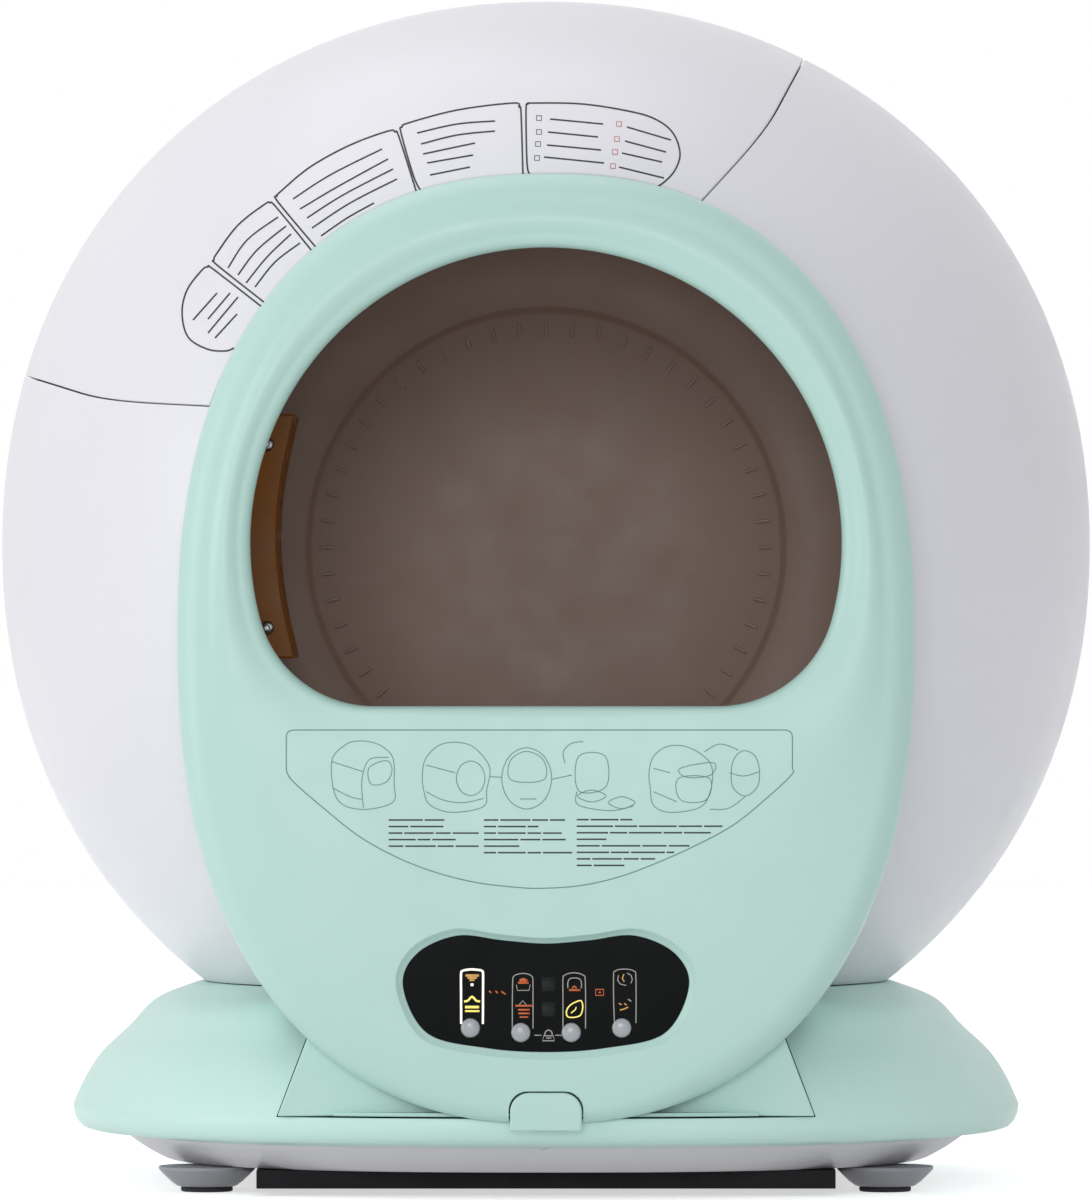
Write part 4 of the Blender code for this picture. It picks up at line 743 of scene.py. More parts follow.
# Shares of the panel rim's width and depth, round its section
RIM_SHARES = ((1.03, 0.03), (0.92, 0.12), (0.72, 0.38), (0.5, 0.66), (0.28, 0.88), (0.1, 1.0), (0.1, 1.35),
              (0.42, 1.35), (1.03, 0.75))

# Radius and place along Y of a button, in millimetres from the glass
BUTTON_PROFILE = ((0, -1.35), (1.6, -1.3), (3.1, -1.1), (4.2, -0.7), (4.9, -0.1), (5.15, 0.6), (5.15, 5),
                  (0, 5))


def inside_bezel(across, up):
    """Whether a point in X and Z lies within the bezel's outline."""
    rise = up - BEZEL_CENTRE_Z
    reach = BEZEL_RISE if rise > 0 else BEZEL_DROP
    return (abs(across) / BEZEL_HALF_WIDTH) ** BEZEL_POWER + (abs(rise) / reach) ** BEZEL_POWER < 1


def inside_window(across, up):
    """Whether a point in X and Z lies within the window: a circle with a flat sill and round corners."""
    rise = up - BALL_CENTRE_Z
    corner_up = WINDOW_CORNER - WINDOW_DROP
    corner_across = math.sqrt((WINDOW_RADIUS - WINDOW_CORNER) ** 2 - corner_up ** 2)
    side, down = abs(across) - corner_across, rise - corner_up
    if math.hypot(across, rise) > WINDOW_RADIUS or rise < -WINDOW_DROP:
        return False
    past_corner = side > 0 and corner_across * down - corner_up * side < 0
    return not past_corner or math.hypot(side, down) < WINDOW_CORNER


def outline_reach(inside, angle, eye_z=BEZEL_EYE_Z):
    """How far an outline lies from an eye on the middle line, at an angle."""
    near, far = 0, 2 * BEZEL_DROP
    for _ in range(REACH_HALVINGS):
        middle = (near + far) / 2
        if inside(middle * math.cos(angle), eye_z + middle * math.sin(angle)):
            near = middle
        else:
            far = middle
    return near


def bezel_back_y(across, up):
    """Where the bezel's side wall ends: just before the ball, the base cover or the drawer."""
    to_middle = Vector((-across, BALL_CENTRE_Z - up)).normalized() * (WALL + BEZEL_GAP)
    back = min(BEZEL_DEEPEST_Y, ball_front_y(across + to_middle.x, up + to_middle.y))
    if up < BASE_TOP_Z + WALL:
        back = min(back, cover_front_y(abs(across) - WALL, min(up, BASE_TOP_Z)))
    if up < DRAWER_TOP_Z + WALL and abs(across) < DRAWER_LOW_HALF + WALL:
        back = min(back, DRAWER_FRONT_Y)
    return back - BEZEL_GAP


def bezel_edge(outer, angle):
    """Where the bezel's side wall ends at an angle, and the radius of its outer edge there."""
    back = bezel_back_y(outer * math.cos(angle), BEZEL_EYE_Z + outer * math.sin(angle))
    return back, min(BEZEL_EDGE, (back - BEZEL_FACE_Y) * BEZEL_EDGE_SHARE)


def bezel_rows():
    """Rows round the bezel, from the back of the window's lip over the face to the back edge."""
    columns = []
    turns = [math.pi / 2 * step / TURN_STEPS for step in range(TURN_STEPS + 1)]
    lip = WINDOW_LIP
    for column in range(BEZEL_COLUMNS):
        angle = math.tau * column / BEZEL_COLUMNS
        inner, outer = outline_reach(inside_window, angle), outline_reach(inside_bezel, angle)
        back, edge = bezel_edge(outer, angle)
        band = outer - edge - inner - lip
        stations = [(inner + LIP_BACK_SPREAD, BEZEL_FACE_Y + WINDOW_LIP_DEPTH),
                    (inner + LIP_FRONT_SPREAD, BEZEL_FACE_Y + LIP_FRONT_DEPTH)]
        stations += [(inner + lip * (1 - math.cos(turn)), BEZEL_FACE_Y + lip * (1 - math.sin(turn)))
                     for turn in turns]
        for step in range(1, FACE_STEPS):
            share = step / FACE_STEPS
            crown = BEZEL_CROWN * math.sin(math.pi * share)
            stations.append((inner + lip + band * share, BEZEL_FACE_Y - crown))
        stations += [(outer - edge * (1 - math.sin(turn)), BEZEL_FACE_Y + edge * (1 - math.cos(turn)))
                     for turn in turns]
        stations += [(outer, (BEZEL_FACE_Y + edge + back) / 2), (outer, back)]
        columns.append([(reach * math.cos(angle), along, BEZEL_EYE_Z + reach * math.sin(angle))
                        for reach, along in stations])
    return [list(row) for row in zip(*columns)]


def bean(grow):
    """The control panel's outline, grown on all sides."""
    half_width, half_height = PANEL_HALF_WIDTH + grow, PANEL_HALF_HEIGHT + grow
    right = [(across * half_width, PANEL_CENTRE_Z + up * half_height) for across, up in BEAN_HALF_SHARES]
    left = [(-across, up) for across, up in right[-2:0:-1]]
    return smooth_loop(right + left, BEAN_STEPS)


def tab_outline(grow):
    """The release tab's outline with its round top, grown on all sides."""
    half, top = TAB_HALF + grow, TAB_TOP_Z + grow
    line = [(-half, TAB_LOW_Z - grow), (half, TAB_LOW_Z - grow)]
    for quarter, side in ((0, 1), (1, -1)):
        line += arc(TAB_CORNER, math.pi / 2 * quarter, math.pi / 2 * (quarter + 1), TAB_STEPS,
                    side * (half - TAB_CORNER), top - TAB_CORNER)
    return line


def button_places():
    """Name, across and up of each control button, in a shallow arc."""
    places = []
    for number in range(4):
        step = number - 1.5
        lift = BUTTON_STEP_Z if abs(step) > 1 else 0
        places.append(("control_button_%d" % (number + 1), step * BUTTON_PITCH, BUTTON_LOW_Z + lift))
    return places


def build_bezel():
    """The removable bezel with its panel opening, tab notch and release tab."""
    bezel = link("bezel_moulding", grid_mesh("bezel", bezel_rows(), True), MINT, "bezel",
                 ["bezel", "bezel_side_band"])
    solidify(bezel, WALL)
    cut(bezel, tool_prism(bean(RIM_WIDTH), FACE_CUT_Y, PANEL_CUT_DEPTH))
    cut(bezel, tool_prism(tab_outline(TAB_GAP), FACE_CUT_Y, TAB_CUT_DEPTH))
    bevel(bezel, BEZEL_ROUND, 3, CURVED_TURN)
    build_rim()
    tab = link("release_tab_moulding", prism_mesh("tab", [tab_outline(-INSET)], TAB_FRONT_Y, TAB_DEPTH),
               MINT, "release_tab", ["release_tab"])
    bevel(tab, TAB_EDGE, 4)


def build_rim():
    """The sloped rim that leads from the bezel's face down to the panel's glass."""
    rows = []
    for width_share, depth_share in RIM_SHARES:
        row = []
        for across, up in bean(RIM_WIDTH * width_share):
            start = bezel_face(across, up) + RIM_SINK
            row.append((across, start + (GLASS_FRONT_Y - start) * depth_share, up))
        rows.append(row)
    link("panel_rim", worked(grid_mesh("rim", rows + [rows[0]], True), weld), MINT, "bezel")


def build_panel():
    """The glossy panel and its four domed buttons."""
    holes = [arc(BUTTON_RADIUS + BUTTON_GAP, 0, math.tau, BUTTON_COLUMNS, across, up)[:-1]
             for _, across, up in button_places()]
    glass = prism_mesh("glass", [bean(-GLASS_INSET)] + holes, GLASS_FRONT_Y, GLASS_DEPTH)
    bevel(link("panel_glass_plate", glass, GLASS, "bezel", ["panel_glass"]), GLASS_EDGE, 3,
          CURVED_TURN)
    for number, (name, across, up) in enumerate(button_places()):
        cap = turned_mesh(name, mm(*BUTTON_PROFILE), BUTTON_COLUMNS, (across, GLASS_FRONT_Y, up))
        bevel(link(name + "_cap", cap, KEY, "button_%d" % (number + 1), [name]), BUTTON_EDGE, 2,
              CURVED_TURN)


# The waste drawer's front

PLATE_DEPTH = DRAWER_FRONT - 2 * INSET
PLATE_BACK_Y = DRAWER_FRONT_Y + PLATE_DEPTH
PLATE_EDGE = 0.9 * MM
SIDE_EDGE = 0.5 * MM
GRIP_RADIUS = 28.2 * MM
GRIP_CUT_Y = -260 * MM
GRIP_CUT_DEPTH = 40 * MM
LEDGE_STEPS = 48
LEDGE_LOW_Z = DRAWER_LOW_Z + 0.2 * MM
LEDGE_HIGH_Z = DRAWER_LOW_Z + 2.4 * MM
LEDGE_BACK_Y = DRAWER_FRONT_Y + 0.6 * MM
CHEEK_STEPS = 16
CHEEK_WALL = 2.6 * MM
CHEEK_OVERLAP = 2.4 * MM


def build_drawer_front():
    """The trapezoid front of the waste drawer with its half round grip."""
    plate = prism_mesh("drawer", [drawer_outline(-INSET)], DRAWER_FRONT_Y + INSET, PLATE_DEPTH)
    front = link("drawer_front_moulding", plate, MINT, "drawer", ["drawer_front"])
    cut(front, tool_bar(GRIP_RADIUS, 0, DRAWER_TOP_Z, GRIP_CUT_Y, GRIP_CUT_DEPTH))
    bevel(front, PLATE_EDGE)
    build_ledge()
    build_cheek("left", -1)
    build_cheek("right", 1)


def build_ledge():
    """A ledge at the foot of the drawer's front that fills the cover's sill."""
    front = []
    for step in range(LEDGE_STEPS + 1):
        across = DRAWER_LOW_HALF * (2 * step / LEDGE_STEPS - 1)
        place = cover_front_y(across, DRAWER_LOW_Z) + CHEEK_OVERLAP
        if place < DRAWER_FRONT_Y:
            front.append((across, place))
    plan = [(front[0][0], LEDGE_BACK_Y)] + front + [(front[-1][0], LEDGE_BACK_Y)]
    count = len(plan)
    verts = [(across, along, height) for height in (LEDGE_LOW_Z, LEDGE_HIGH_Z) for across, along in plan]
    faces = [tuple(range(count)), tuple(range(count, 2 * count))]
    faces += [(index, (index + 1) % count, count + (index + 1) % count, count + index)
              for index in range(count)]
    ledge = worked(mesh_of("ledge", verts, faces))
    bevel(link("drawer_ledge", ledge, MINT, "drawer"), SIDE_EDGE, 2, CURVED_TURN)


def build_cheek(side_name, side):
    """A side wall that runs from the drawer's front back to the cover's slope."""
    low, high = drawer_outline(-INSET)[1:3]
    rows = []
    for step in range(CHEEK_STEPS + 1):
        outer, up = Vector(low).lerp(Vector(high), step / CHEEK_STEPS)
        back = max(cover_front_y(outer, up), PLATE_BACK_Y) + CHEEK_OVERLAP
        inner = outer - CHEEK_WALL
        rows.append([(side * across, along, up) for across, along in
                     ((outer, PLATE_BACK_Y), (outer, back), (inner, back), (inner, PLATE_BACK_Y))])
    cheek = worked(grid_mesh("cheek", rows, True), close_ends)
    bevel(link("drawer_cheek_" + side_name, cheek, MINT, "drawer"), SIDE_EDGE, 2, CURVED_TURN)


# The drum and what shows inside

DRUM_WALL = WALL - 2 * INSET
DRUM_EDGE = 0.6 * MM
# Radius and place along Y of the drum's mouth, then the swell, length and place of each bend
DRUM_MOUTH = (165 * MM, -196 * MM)
DRUM_FRONT_BEND = (75 * MM, 110 * MM, -40 * MM)
DRUM_REAR_BEND = (102 * MM, 100 * MM, 108 * MM)
DRUM_REAR_RADIUS = 138 * MM
DRUM_BACK_Y = 214 * MM
# Radius and place along Y past the drum's back, in millimetres
DRUM_BACK_PROFILE = ((136.5, -5), (134.8, -1.4), (133, 0), (60, 5), (0.01, 6))
DRUM_STEPS = 12
DRUM_COLUMNS = 120
PORT_ANGLE = math.radians(116)
# How far out and along Y the waste port's middle lies, and its cutter's low and high corner
PORT_PLACE = (240 * MM, 10 * MM)
PORT_BOX = ((-25 * MM, -40 * MM, -75.2 * MM), (20 * MM, 40 * MM, 75.2 * MM))
RIB_COUNT = 52
RIB_SIZE = (8 * MM, 2.4 * MM, 1.8 * MM)
RIB_PLACE = (125 * MM, 210.3 * MM, 0)

# Radius and place along Y of the front ring's section, in millimetres from its front
RING_PROFILE = ((190.8, 0), (190.8, 3.9), (161.5, 3.9), (160.3, 2.9), (160.1, -3.4), (160.6, -4.5),
                (161.5, -4.8), (162.4, -4.5), (162.9, -3.4), (163, 0))
RING_SEAT_X = 191 * MM
RING_SEAT_GAP = 1.5 * MM
RING_COLUMNS = 160
RING_EDGE = 0.4 * MM


def drum_side(inset):
    """Radius and place along Y of the drum's face, or a face inset from it, from mouth to back."""
    radius, front = DRUM_MOUTH
    side = [(radius - inset, front)]
    swell, length, along = DRUM_FRONT_BEND
    for step in range(DRUM_STEPS + 1):
        angle = math.pi / 2 * (1 - step / DRUM_STEPS)
        side.append((radius - inset + swell * math.cos(angle), along - (length - inset) * math.sin(angle)))
    swell, length, along = DRUM_REAR_BEND
    for step in range(DRUM_STEPS + 1):
        angle = math.pi / 2 * step / DRUM_STEPS
        side.append((DRUM_REAR_RADIUS + (swell - inset) * math.cos(angle),
                     along + (length - inset) * math.sin(angle)))
    back = DRUM_BACK_Y - inset
    return side + [(radius, back + past) for radius, past in mm(*DRUM_BACK_PROFILE)]


def build_drum():
    """The smoked drum with its waste port and the ribs round its back ring."""
    profile = drum_side(DRUM_WALL)[::-1] + drum_side(INSET)
    drum = link("drum_moulding", turned_mesh("drum", profile, DRUM_COLUMNS), DRUM, "drum_assembly",
                ["drum"])
    port = tool_box(*PORT_BOX)
    reach, along = PORT_PLACE
    port.location = (reach * math.cos(PORT_ANGLE), along, BALL_CENTRE_Z + reach * math.sin(PORT_ANGLE))
    port.rotation_euler = (0, -PORT_ANGLE, 0)
    cut(drum, port)
    bevel(drum, DRUM_EDGE, 2, CURVED_TURN)
    bm = bmesh.new()
    for number in range(RIB_COUNT):
        made = add_block(bm, RIB_PLACE, RIB_SIZE)
        turn = Quaternion((0, 1, 0), -math.tau * number / RIB_COUNT).to_matrix()
        bmesh.ops.rotate(bm, cent=(0, 0, 0), matrix=turn, verts=made)
        bmesh.ops.translate(bm, vec=(0, 0, BALL_CENTRE_Z), verts=made)
    bevel(link("drum_back_ribs", finished("ribs", bm), DRUM, "drum_assembly"), DRUM_EDGE, 2)


def build_front_ring():
    """The ring behind the window with its rolled lip."""
    front = ball_front_y(RING_SEAT_X, BALL_CENTRE_Z, WALL) + RING_SEAT_GAP
    centre = (0, front, BALL_CENTRE_Z)
    ring = turned_mesh("ring", mm(*RING_PROFILE), RING_COLUMNS, centre, closed=True)
    bevel(link("front_ring_moulding", ring, MINT, "housing", ["front_ring"]), RING_EDGE, 2,
          CURVED_TURN)


# Prints and lit marks

# The camera's view is 1092 by 1200 pixels, and its lens is 10880 of them long.  Prints are placed by
# where that view shows them
MIDDLE_PX = 546
MIDDLE_DOWN_PX = 600
CAMERA_AWAY = 6.0
CAMERA_Z = 0.319
FOCAL_PX = 10880
SEEN_FROM_Y = -260 * MM
SEEN_ROUNDS = 8
REACH_PARTS = 4
DENSE_STEP = 2.5 * MM
EASED_STEPS = 6
MARK_STEPS = 5


def strip_mesh(name, lines, height_of, lift, thickness):
    """Thin raised print on a surface.  Each line is points in X and Z, a half width and whether it
    closes; height_of gives the surface's place along Y."""
    verts, faces = [], []
    for points, half, closed in lines:
        count = len(points)
        first = len(verts)
        for index, (across, up) in enumerate(points):
            before = points[(index - 1) % count] if closed or index else points[index]
            after = points[(index + 1) % count] if closed or index < count - 1 else points[index]
            along = Vector((after[0] - before[0], after[1] - before[1]))
            along = along.normalized() if along.length else Vector((1, 0))
            side = Vector((-along.y, along.x)) * half
            for sign in (1, -1):
                place_x, place_z = across + side.x * sign, up + side.y * sign
                verts.append((place_x, height_of(place_x, place_z) - lift, place_z))
        for index in range(count if closed else count - 1):
            near, far = first + index * 2, first + (index + 1) % count * 2
            faces.append((near, near + 1, far + 1, far))

    def thicken(bm):
        """Face the strips forward and give them their thickness."""
        bmesh.ops.recalc_face_normals(bm, faces=bm.faces)
        if sum(face.normal.y for face in bm.faces) > 0:
            bmesh.ops.reverse_faces(bm, faces=bm.faces)
        made = bmesh.ops.extrude_face_region(bm, geom=bm.faces[:])["geom"]
        moved = [item for item in made if isinstance(item, bmesh.types.BMVert)]
        bmesh.ops.translate(bm, vec=(0, -thickness, 0), verts=moved)

    return worked(mesh_of(name, verts, faces), thicken)


def dense(points, closed=False, step=DENSE_STEP):
    """The same line with points close together, so that it follows a curved surface."""
    line = []
    count = len(points)
    for index in range(count if closed else count - 1):
        start, end = Vector(points[index]), Vector(points[(index + 1) % count])
        parts = max(1, math.ceil((end - start).length / step))
        line += [tuple(start.lerp(end, part / parts)) for part in range(parts)]
    if not closed:
        line.append(tuple(points[-1]))
    return line


def bezel_face(across, up):
    """Where the bezel's crowned face lies in front of a point."""
    angle = math.atan2(up - BEZEL_EYE_Z, across)
    inner, outer = face_reaches(angle)
    _, edge = bezel_edge(outer, angle)
    reach = math.hypot(across, up - BEZEL_EYE_Z)
    share = (reach - inner - WINDOW_LIP) / (outer - edge - inner - WINDOW_LIP)
    return BEZEL_FACE_Y - BEZEL_CROWN * math.sin(math.pi * min(max(share, 0), 1))


REACHES = {}


def face_reaches(angle):
    """The window's and the bezel's reach at an angle, kept for angles that were asked before."""
    key = round(math.degrees(angle) * REACH_PARTS)
    if key not in REACHES:
        near = math.radians(key / REACH_PARTS)
        REACHES[key] = (outline_reach(inside_window, near), outline_reach(inside_bezel, near))
    return REACHES[key]


def glass_face(across, up):
    """The control panel's flat front."""
    return GLASS_FRONT_Y


def seen_at(across, down, height_of):
    """Where a point of the camera's view lies on a surface, in X and Z."""
    place_y = SEEN_FROM_Y
    for _ in range(SEEN_ROUNDS):
        scale = (CAMERA_AWAY + place_y) / FOCAL_PX
        place_x, place_z = (across - MIDDLE_PX) * scale, CAMERA_Z + (MIDDLE_DOWN_PX - down) * scale
        place_y = height_of(place_x, place_z)
    return place_x, place_z


# Surface, lift, thickness, body and slot of what is printed or lit on hood, bezel and glass
ON_HOOD = (ball_front_y, 0.02 * MM, 0.06 * MM, "hood", "shell")
ON_BEZEL = (bezel_face, 0.02 * MM, 0.05 * MM, "bezel", "mint")
ON_GLASS = (glass_face, 0.01 * MM, 0.05 * MM, "bezel", "panel")

# Hood frames and their ruled lines: across and down, in pixels of the view
HOOD_FRAMES = (
    (262, 307, 213, 269, 208, 267, 202, 270, 187, 290, 182, 313, 188, 337, 207, 349, 225, 351, 234, 348),
    (265, 303, 217, 265, 214, 260, 217, 253, 238, 225, 265, 204, 270, 203, 276, 207, 316, 256),
    (319, 251, 278, 202, 277, 196, 280, 192, 310, 167, 350, 145, 388, 131, 395, 132, 399, 137, 418, 197),
    (425, 195, 415, 180, 401, 133, 402, 127, 408, 123, 457, 110, 513, 103, 519, 107, 521, 113, 523, 176),
    (530, 175, 527, 163, 526, 110, 528, 104, 533, 103, 583, 104, 633, 112, 657, 120, 673, 133, 680, 153,
     675, 170, 663, 183, 650, 190)
)
HOOD_RULES = (
    (193, 320, 217, 293), (208, 319, 230, 293), (208, 333, 238, 297), (215, 338, 237, 314),
    (228, 268, 247, 240, 278, 217), (238, 275, 257, 250, 286, 226), (246, 283, 267, 257, 291, 234),
    (255, 287, 275, 262, 300, 243), (293, 199, 330, 175, 382, 149), (300, 209, 337, 187, 388, 159),
    (307, 218, 343, 195, 393, 169), (312, 228, 350, 203, 397, 179), (321, 236, 347, 218, 374, 203),
    (417, 133, 457, 124, 495, 121), (421, 144, 457, 135, 495, 131), (423, 154, 475, 143),
    (427, 163, 473, 155), (430, 175, 470, 167), (550, 119, 603, 124), (548, 132, 598, 137),
    (547, 145, 601, 150), (544, 157, 604, 163), (627, 127, 671, 140), (625, 141, 666, 152),
    (622, 153, 662, 162), (619, 167, 664, 178)
)
HOOD_TICKS = (539, 118, 539, 132, 538, 144, 537, 158)
HOOD_RED_TICKS = (619, 124, 617, 139, 615, 152, 613, 166)

# The bezel's printed frame, outline drawings (closed or not) and lines, in thirds of a pixel from a corner
PRINT_CORNER = (270, 720)
PRINT_PARTS = 3
PRINT_FRAME = (
    49, 70, 50, 45, 57, 34, 75, 30, 110, 30, 300, 30, 800, 30, 1300, 30, 1520, 30, 1550, 31, 1563, 38,
    1567, 52, 1567, 80, 1567, 140, 1564, 165, 1488, 236, 1393, 313, 1286, 372, 1167, 426, 1049, 470,
    930, 497, 811, 505, 740, 502, 622, 488, 503, 459, 385, 414, 266, 348, 147, 253, 75, 190, 52, 160,
    49, 130)
PRINT_DRAWINGS = (
    (True, 185, 125, 225, 75, 265, 63, 310, 68, 345, 85, 370, 118, 372, 190, 367, 248, 270, 268, 200, 235),
    (False, 185, 125, 280, 155), (False, 190, 205, 240, 230, 275, 238),
    (False, 280, 262, 275, 190, 285, 140, 305, 115, 355, 112),
    (True, 295, 175, 300, 140, 350, 122, 366, 150, 350, 185, 310, 195), (True, 457, 170, 465, 120, 500,
     80, 545, 67, 600, 75, 640, 110, 660, 150, 650, 210, 640, 260, 545, 277, 480, 255, 462, 215),
    (False, 468, 135, 555, 158), (False, 468, 215, 520, 240, 580, 248, 640, 235),
    (True, 559, 175, 572, 138, 602, 123, 632, 138, 645, 175, 632, 212, 602, 227, 572, 212),
    (True, 695, 175, 717, 110, 770, 83, 823, 110, 845, 175, 823, 240, 770, 267, 717, 240),
    (True, 718, 175, 722, 120, 770, 94, 820, 120, 826, 175, 770, 187), (False, 750, 237, 798, 237),
    (False, 660, 170, 697, 172), (False, 845, 178, 905, 165), (False, 885, 130, 880, 95, 905, 70, 940, 65),
    (True, 925, 110, 1005, 108, 1008, 200, 925, 212), (True, 922, 228, 965, 210, 1008, 228, 965, 246),
    (True, 1015, 248, 1055, 230, 1095, 248, 1055, 266), (False, 920, 215, 925, 255, 1020, 272, 1090, 258),
    (True, 1137, 160, 1150, 110, 1190, 80, 1240, 78, 1290, 100, 1325, 140, 1322, 210, 1290, 262, 1200,
     277, 1150, 255, 1140, 200), (False, 1150, 145, 1200, 158),
    (True, 1230, 145, 1330, 128, 1322, 165, 1250, 172), (False, 1150, 215, 1220, 245),
    (True, 1225, 175, 1318, 175, 1308, 240, 1232, 240),
    (True, 1385, 140, 1400, 105, 1425, 92, 1455, 108, 1468, 150, 1462, 200, 1425, 228, 1388, 200),
    (False, 1378, 158, 1420, 168, 1466, 156), (False, 1303, 95, 1350, 72, 1405, 90),
    (False, 1320, 268, 1375, 265, 1425, 230)
)
PRINT_COLUMNS = ((356, 300, (528, 520, 626, 557, 626)), (642, 300, (885, 805, 875, 887, 748, 906)),
                 (920, 299, (1087, 1357, 1322, 1009, 1258, 1212, 1155, 1067)))
PRINT_LEADING = 19.6
WORD_SHORTEST = 34
WORD_SPREAD = 90
WORD_LEAST = 8
WORD_GAP = 6
WORD_STRIDE = 37
WORD_TURN = 11

# Half widths of the printed lines, and half of a tick's square
FRAME_LINE = 0.46 * MM
RULE_LINE = 0.44 * MM
TICK_LINE = 0.25 * MM
TICK_HALF = 1.3 * MM
OUTLINE_LINE = 0.3 * MM
DRAWING_LINE = 0.24 * MM
WORD_LINE = 0.4 * MM


def pairs(values):
    """Numbers in a row as points."""
    return list(zip(values[::2], values[1::2]))


def on_hood(values):
    """Points of the hood's print, in X and Z."""
    return [seen_at(across, down, ball_front_y) for across, down in pairs(values)]


def on_bezel(values, corner=PRINT_CORNER, parts=PRINT_PARTS):
    """Points of the bezel's print or the panel's marks, in X and Z."""
    return [seen_at(corner[0] + across / parts, corner[1] + down / parts, bezel_face)
            for across, down in pairs(values)]


def eased(points, closed):
    """A smooth dense line through points."""
    return dense(smooth_loop(points, EASED_STEPS, closed) if len(points) > 2 else points, closed)


def square_at(middle, half):
    """A small square's corners about a point."""
    across, up = middle
    return [(across - half, up - half), (across + half, up - half), (across + half, up + half),
            (across - half, up + half)]


def print_on(surface, name, lines, material):
    """Lines as thin raised print on a surface."""
    height_of, lift, thickness, body, slot = surface
    link(name, strip_mesh(name, lines, height_of, lift, thickness), material, body)


def build_prints():
    """Plain frames and ruled lines on the hood, and plain outlines and lines on the bezel."""
    rules = []
    for table, half in ((HOOD_FRAMES, FRAME_LINE), (HOOD_RULES, RULE_LINE)):
        rules += [(eased(on_hood(row), False), half, False) for row in table]
    ticks, red_ticks = ([(square_at(place, TICK_HALF), TICK_LINE, True) for place in on_hood(places)]
                        for places in (HOOD_TICKS, HOOD_RED_TICKS))
    print_on(ON_HOOD, "hood_print", rules + ticks, INK)
    print_on(ON_HOOD, "hood_ticks", red_ticks, INK_RED)
    outlines = [(eased(on_bezel(PRINT_FRAME), True), OUTLINE_LINE, True)]
    outlines += [(eased(on_bezel(row), closed), DRAWING_LINE, closed) for closed, *row in PRINT_DRAWINGS]
    print_on(ON_BEZEL, "bezel_outlines", outlines, INK_FAINT)
    bars = []
    for left, top, ends in PRINT_COLUMNS:
        for row, right in enumerate(ends):
            bars += words(left, right, top + row * PRINT_LEADING)
    print_on(ON_BEZEL, "bezel_lines", bars, INK)


def words(left, right, down):
    """A ruled line broken in a few places."""
    bars = []
    start = left
    number = int(left + right + down)
    while start < right:
        end = min(start + WORD_SHORTEST + (number * WORD_STRIDE) % WORD_SPREAD, right)
        if end - start > WORD_LEAST:
            bars.append((dense(on_bezel((start, down, end, down))), WORD_LINE, False))
        start = end + WORD_GAP
        number += WORD_TURN
    return bars


# The panel's marks: half width in mm, closed or not, and points in sixths of a pixel from a corner
MARK_CORNER = (440, 960)
MARK_PARTS = 6
SLOT_LIT = (
    (0.56, False, 127, 385, 126, 200, 126, 84, 134, 68, 150, 62, 192, 58, 236, 62, 252, 68, 258, 84, 258,
     200, 257, 385), (0.4, True, 186, 146, 198, 146, 198, 154, 186, 154)
)
SLOT_MARKS = (
    (0.26, False, 434, 413, 434, 250, 437, 118, 445, 98, 462, 88, 498, 82, 532, 88, 549, 98, 557, 118,
     558, 250, 558, 413), (0.26, False, 738, 415, 738, 250, 738, 112, 746, 95, 766, 84, 804, 78, 842, 84,
     862, 95, 871, 112, 874, 250, 873, 415), (0.26, False, 1047, 380, 1042, 240, 1042, 86, 1050, 70, 1068,
     60, 1108, 56, 1146, 60, 1166, 70, 1175, 86, 1177, 240, 1176, 380),
    (0.3, True, 615, 486, 623, 456, 680, 456, 686, 486),
    (0.3, False, 628, 452, 634, 432, 651, 422, 669, 432, 674, 452), (0.3, False, 638, 470, 668, 470),
    (0.26, False, 565, 453, 610, 453), (0.26, False, 692, 453, 735, 453),
    (0.24, False, 458, 150, 464, 184, 534, 184, 541, 150), (0.24, False, 472, 274, 496, 246, 521, 274),
    (0.26, False, 768, 172, 768, 134, 784, 112, 832, 112, 848, 134, 848, 172),
    (0.26, False, 1072, 92, 1066, 122, 1082, 146, 1118, 154),
    (0.24, False, 1122, 80, 1146, 92, 1154, 118, 1146, 142), (0.3, False, 1128, 236, 1148, 250)
)
ICONS_YELLOW = (
    (0.34, True, 765, 340, 760, 305, 785, 270, 840, 245, 855, 265, 855, 300, 840, 335, 800, 346),
    (0.3, False, 786, 320, 812, 300, 818, 284),
    (0.55, False, 144, 250, 166, 246, 192, 222, 218, 246, 240, 250), (0.7, False, 150, 284, 234, 284),
    (0.5, False, 150, 308, 236, 308)
)
ICONS_AMBER = (
    (0.62, False, 152, 94, 234, 94), (0.6, False, 164, 108, 222, 108), (0.5, False, 176, 122, 208, 122),
    (0.3, False, 1104, 86, 1094, 112, 1106, 132), (0.3, False, 1074, 262, 1090, 270),
    (0.3, False, 1106, 262, 1120, 272), (0.34, False, 1080, 302, 1104, 296, 1130, 284)
)
ICONS_ORANGE = (
    (0.9, False, 478, 128, 500, 118, 522, 128), (0.55, False, 468, 138, 532, 138),
    (0.5, False, 452, 276, 552, 276), (0.45, False, 468, 300, 538, 300), (0.45, False, 470, 322, 538, 322),
    (0.4, False, 478, 344, 530, 344), (0.5, False, 774, 182, 842, 182),
    (0.45, False, 792, 172, 806, 158, 820, 172), (0.3, True, 934, 178, 982, 178, 982, 214, 934, 214),
    (0.4, False, 952, 196, 966, 196), (0.4, False, 294, 186, 308, 200), (0.4, False, 334, 186, 346, 202),
    (0.4, False, 368, 190, 394, 208)
)
DISPLAY_SQUARES = (
    (3.72, False, 610, 147, 692, 147), (3.72, False, 610, 297, 692, 297)
)
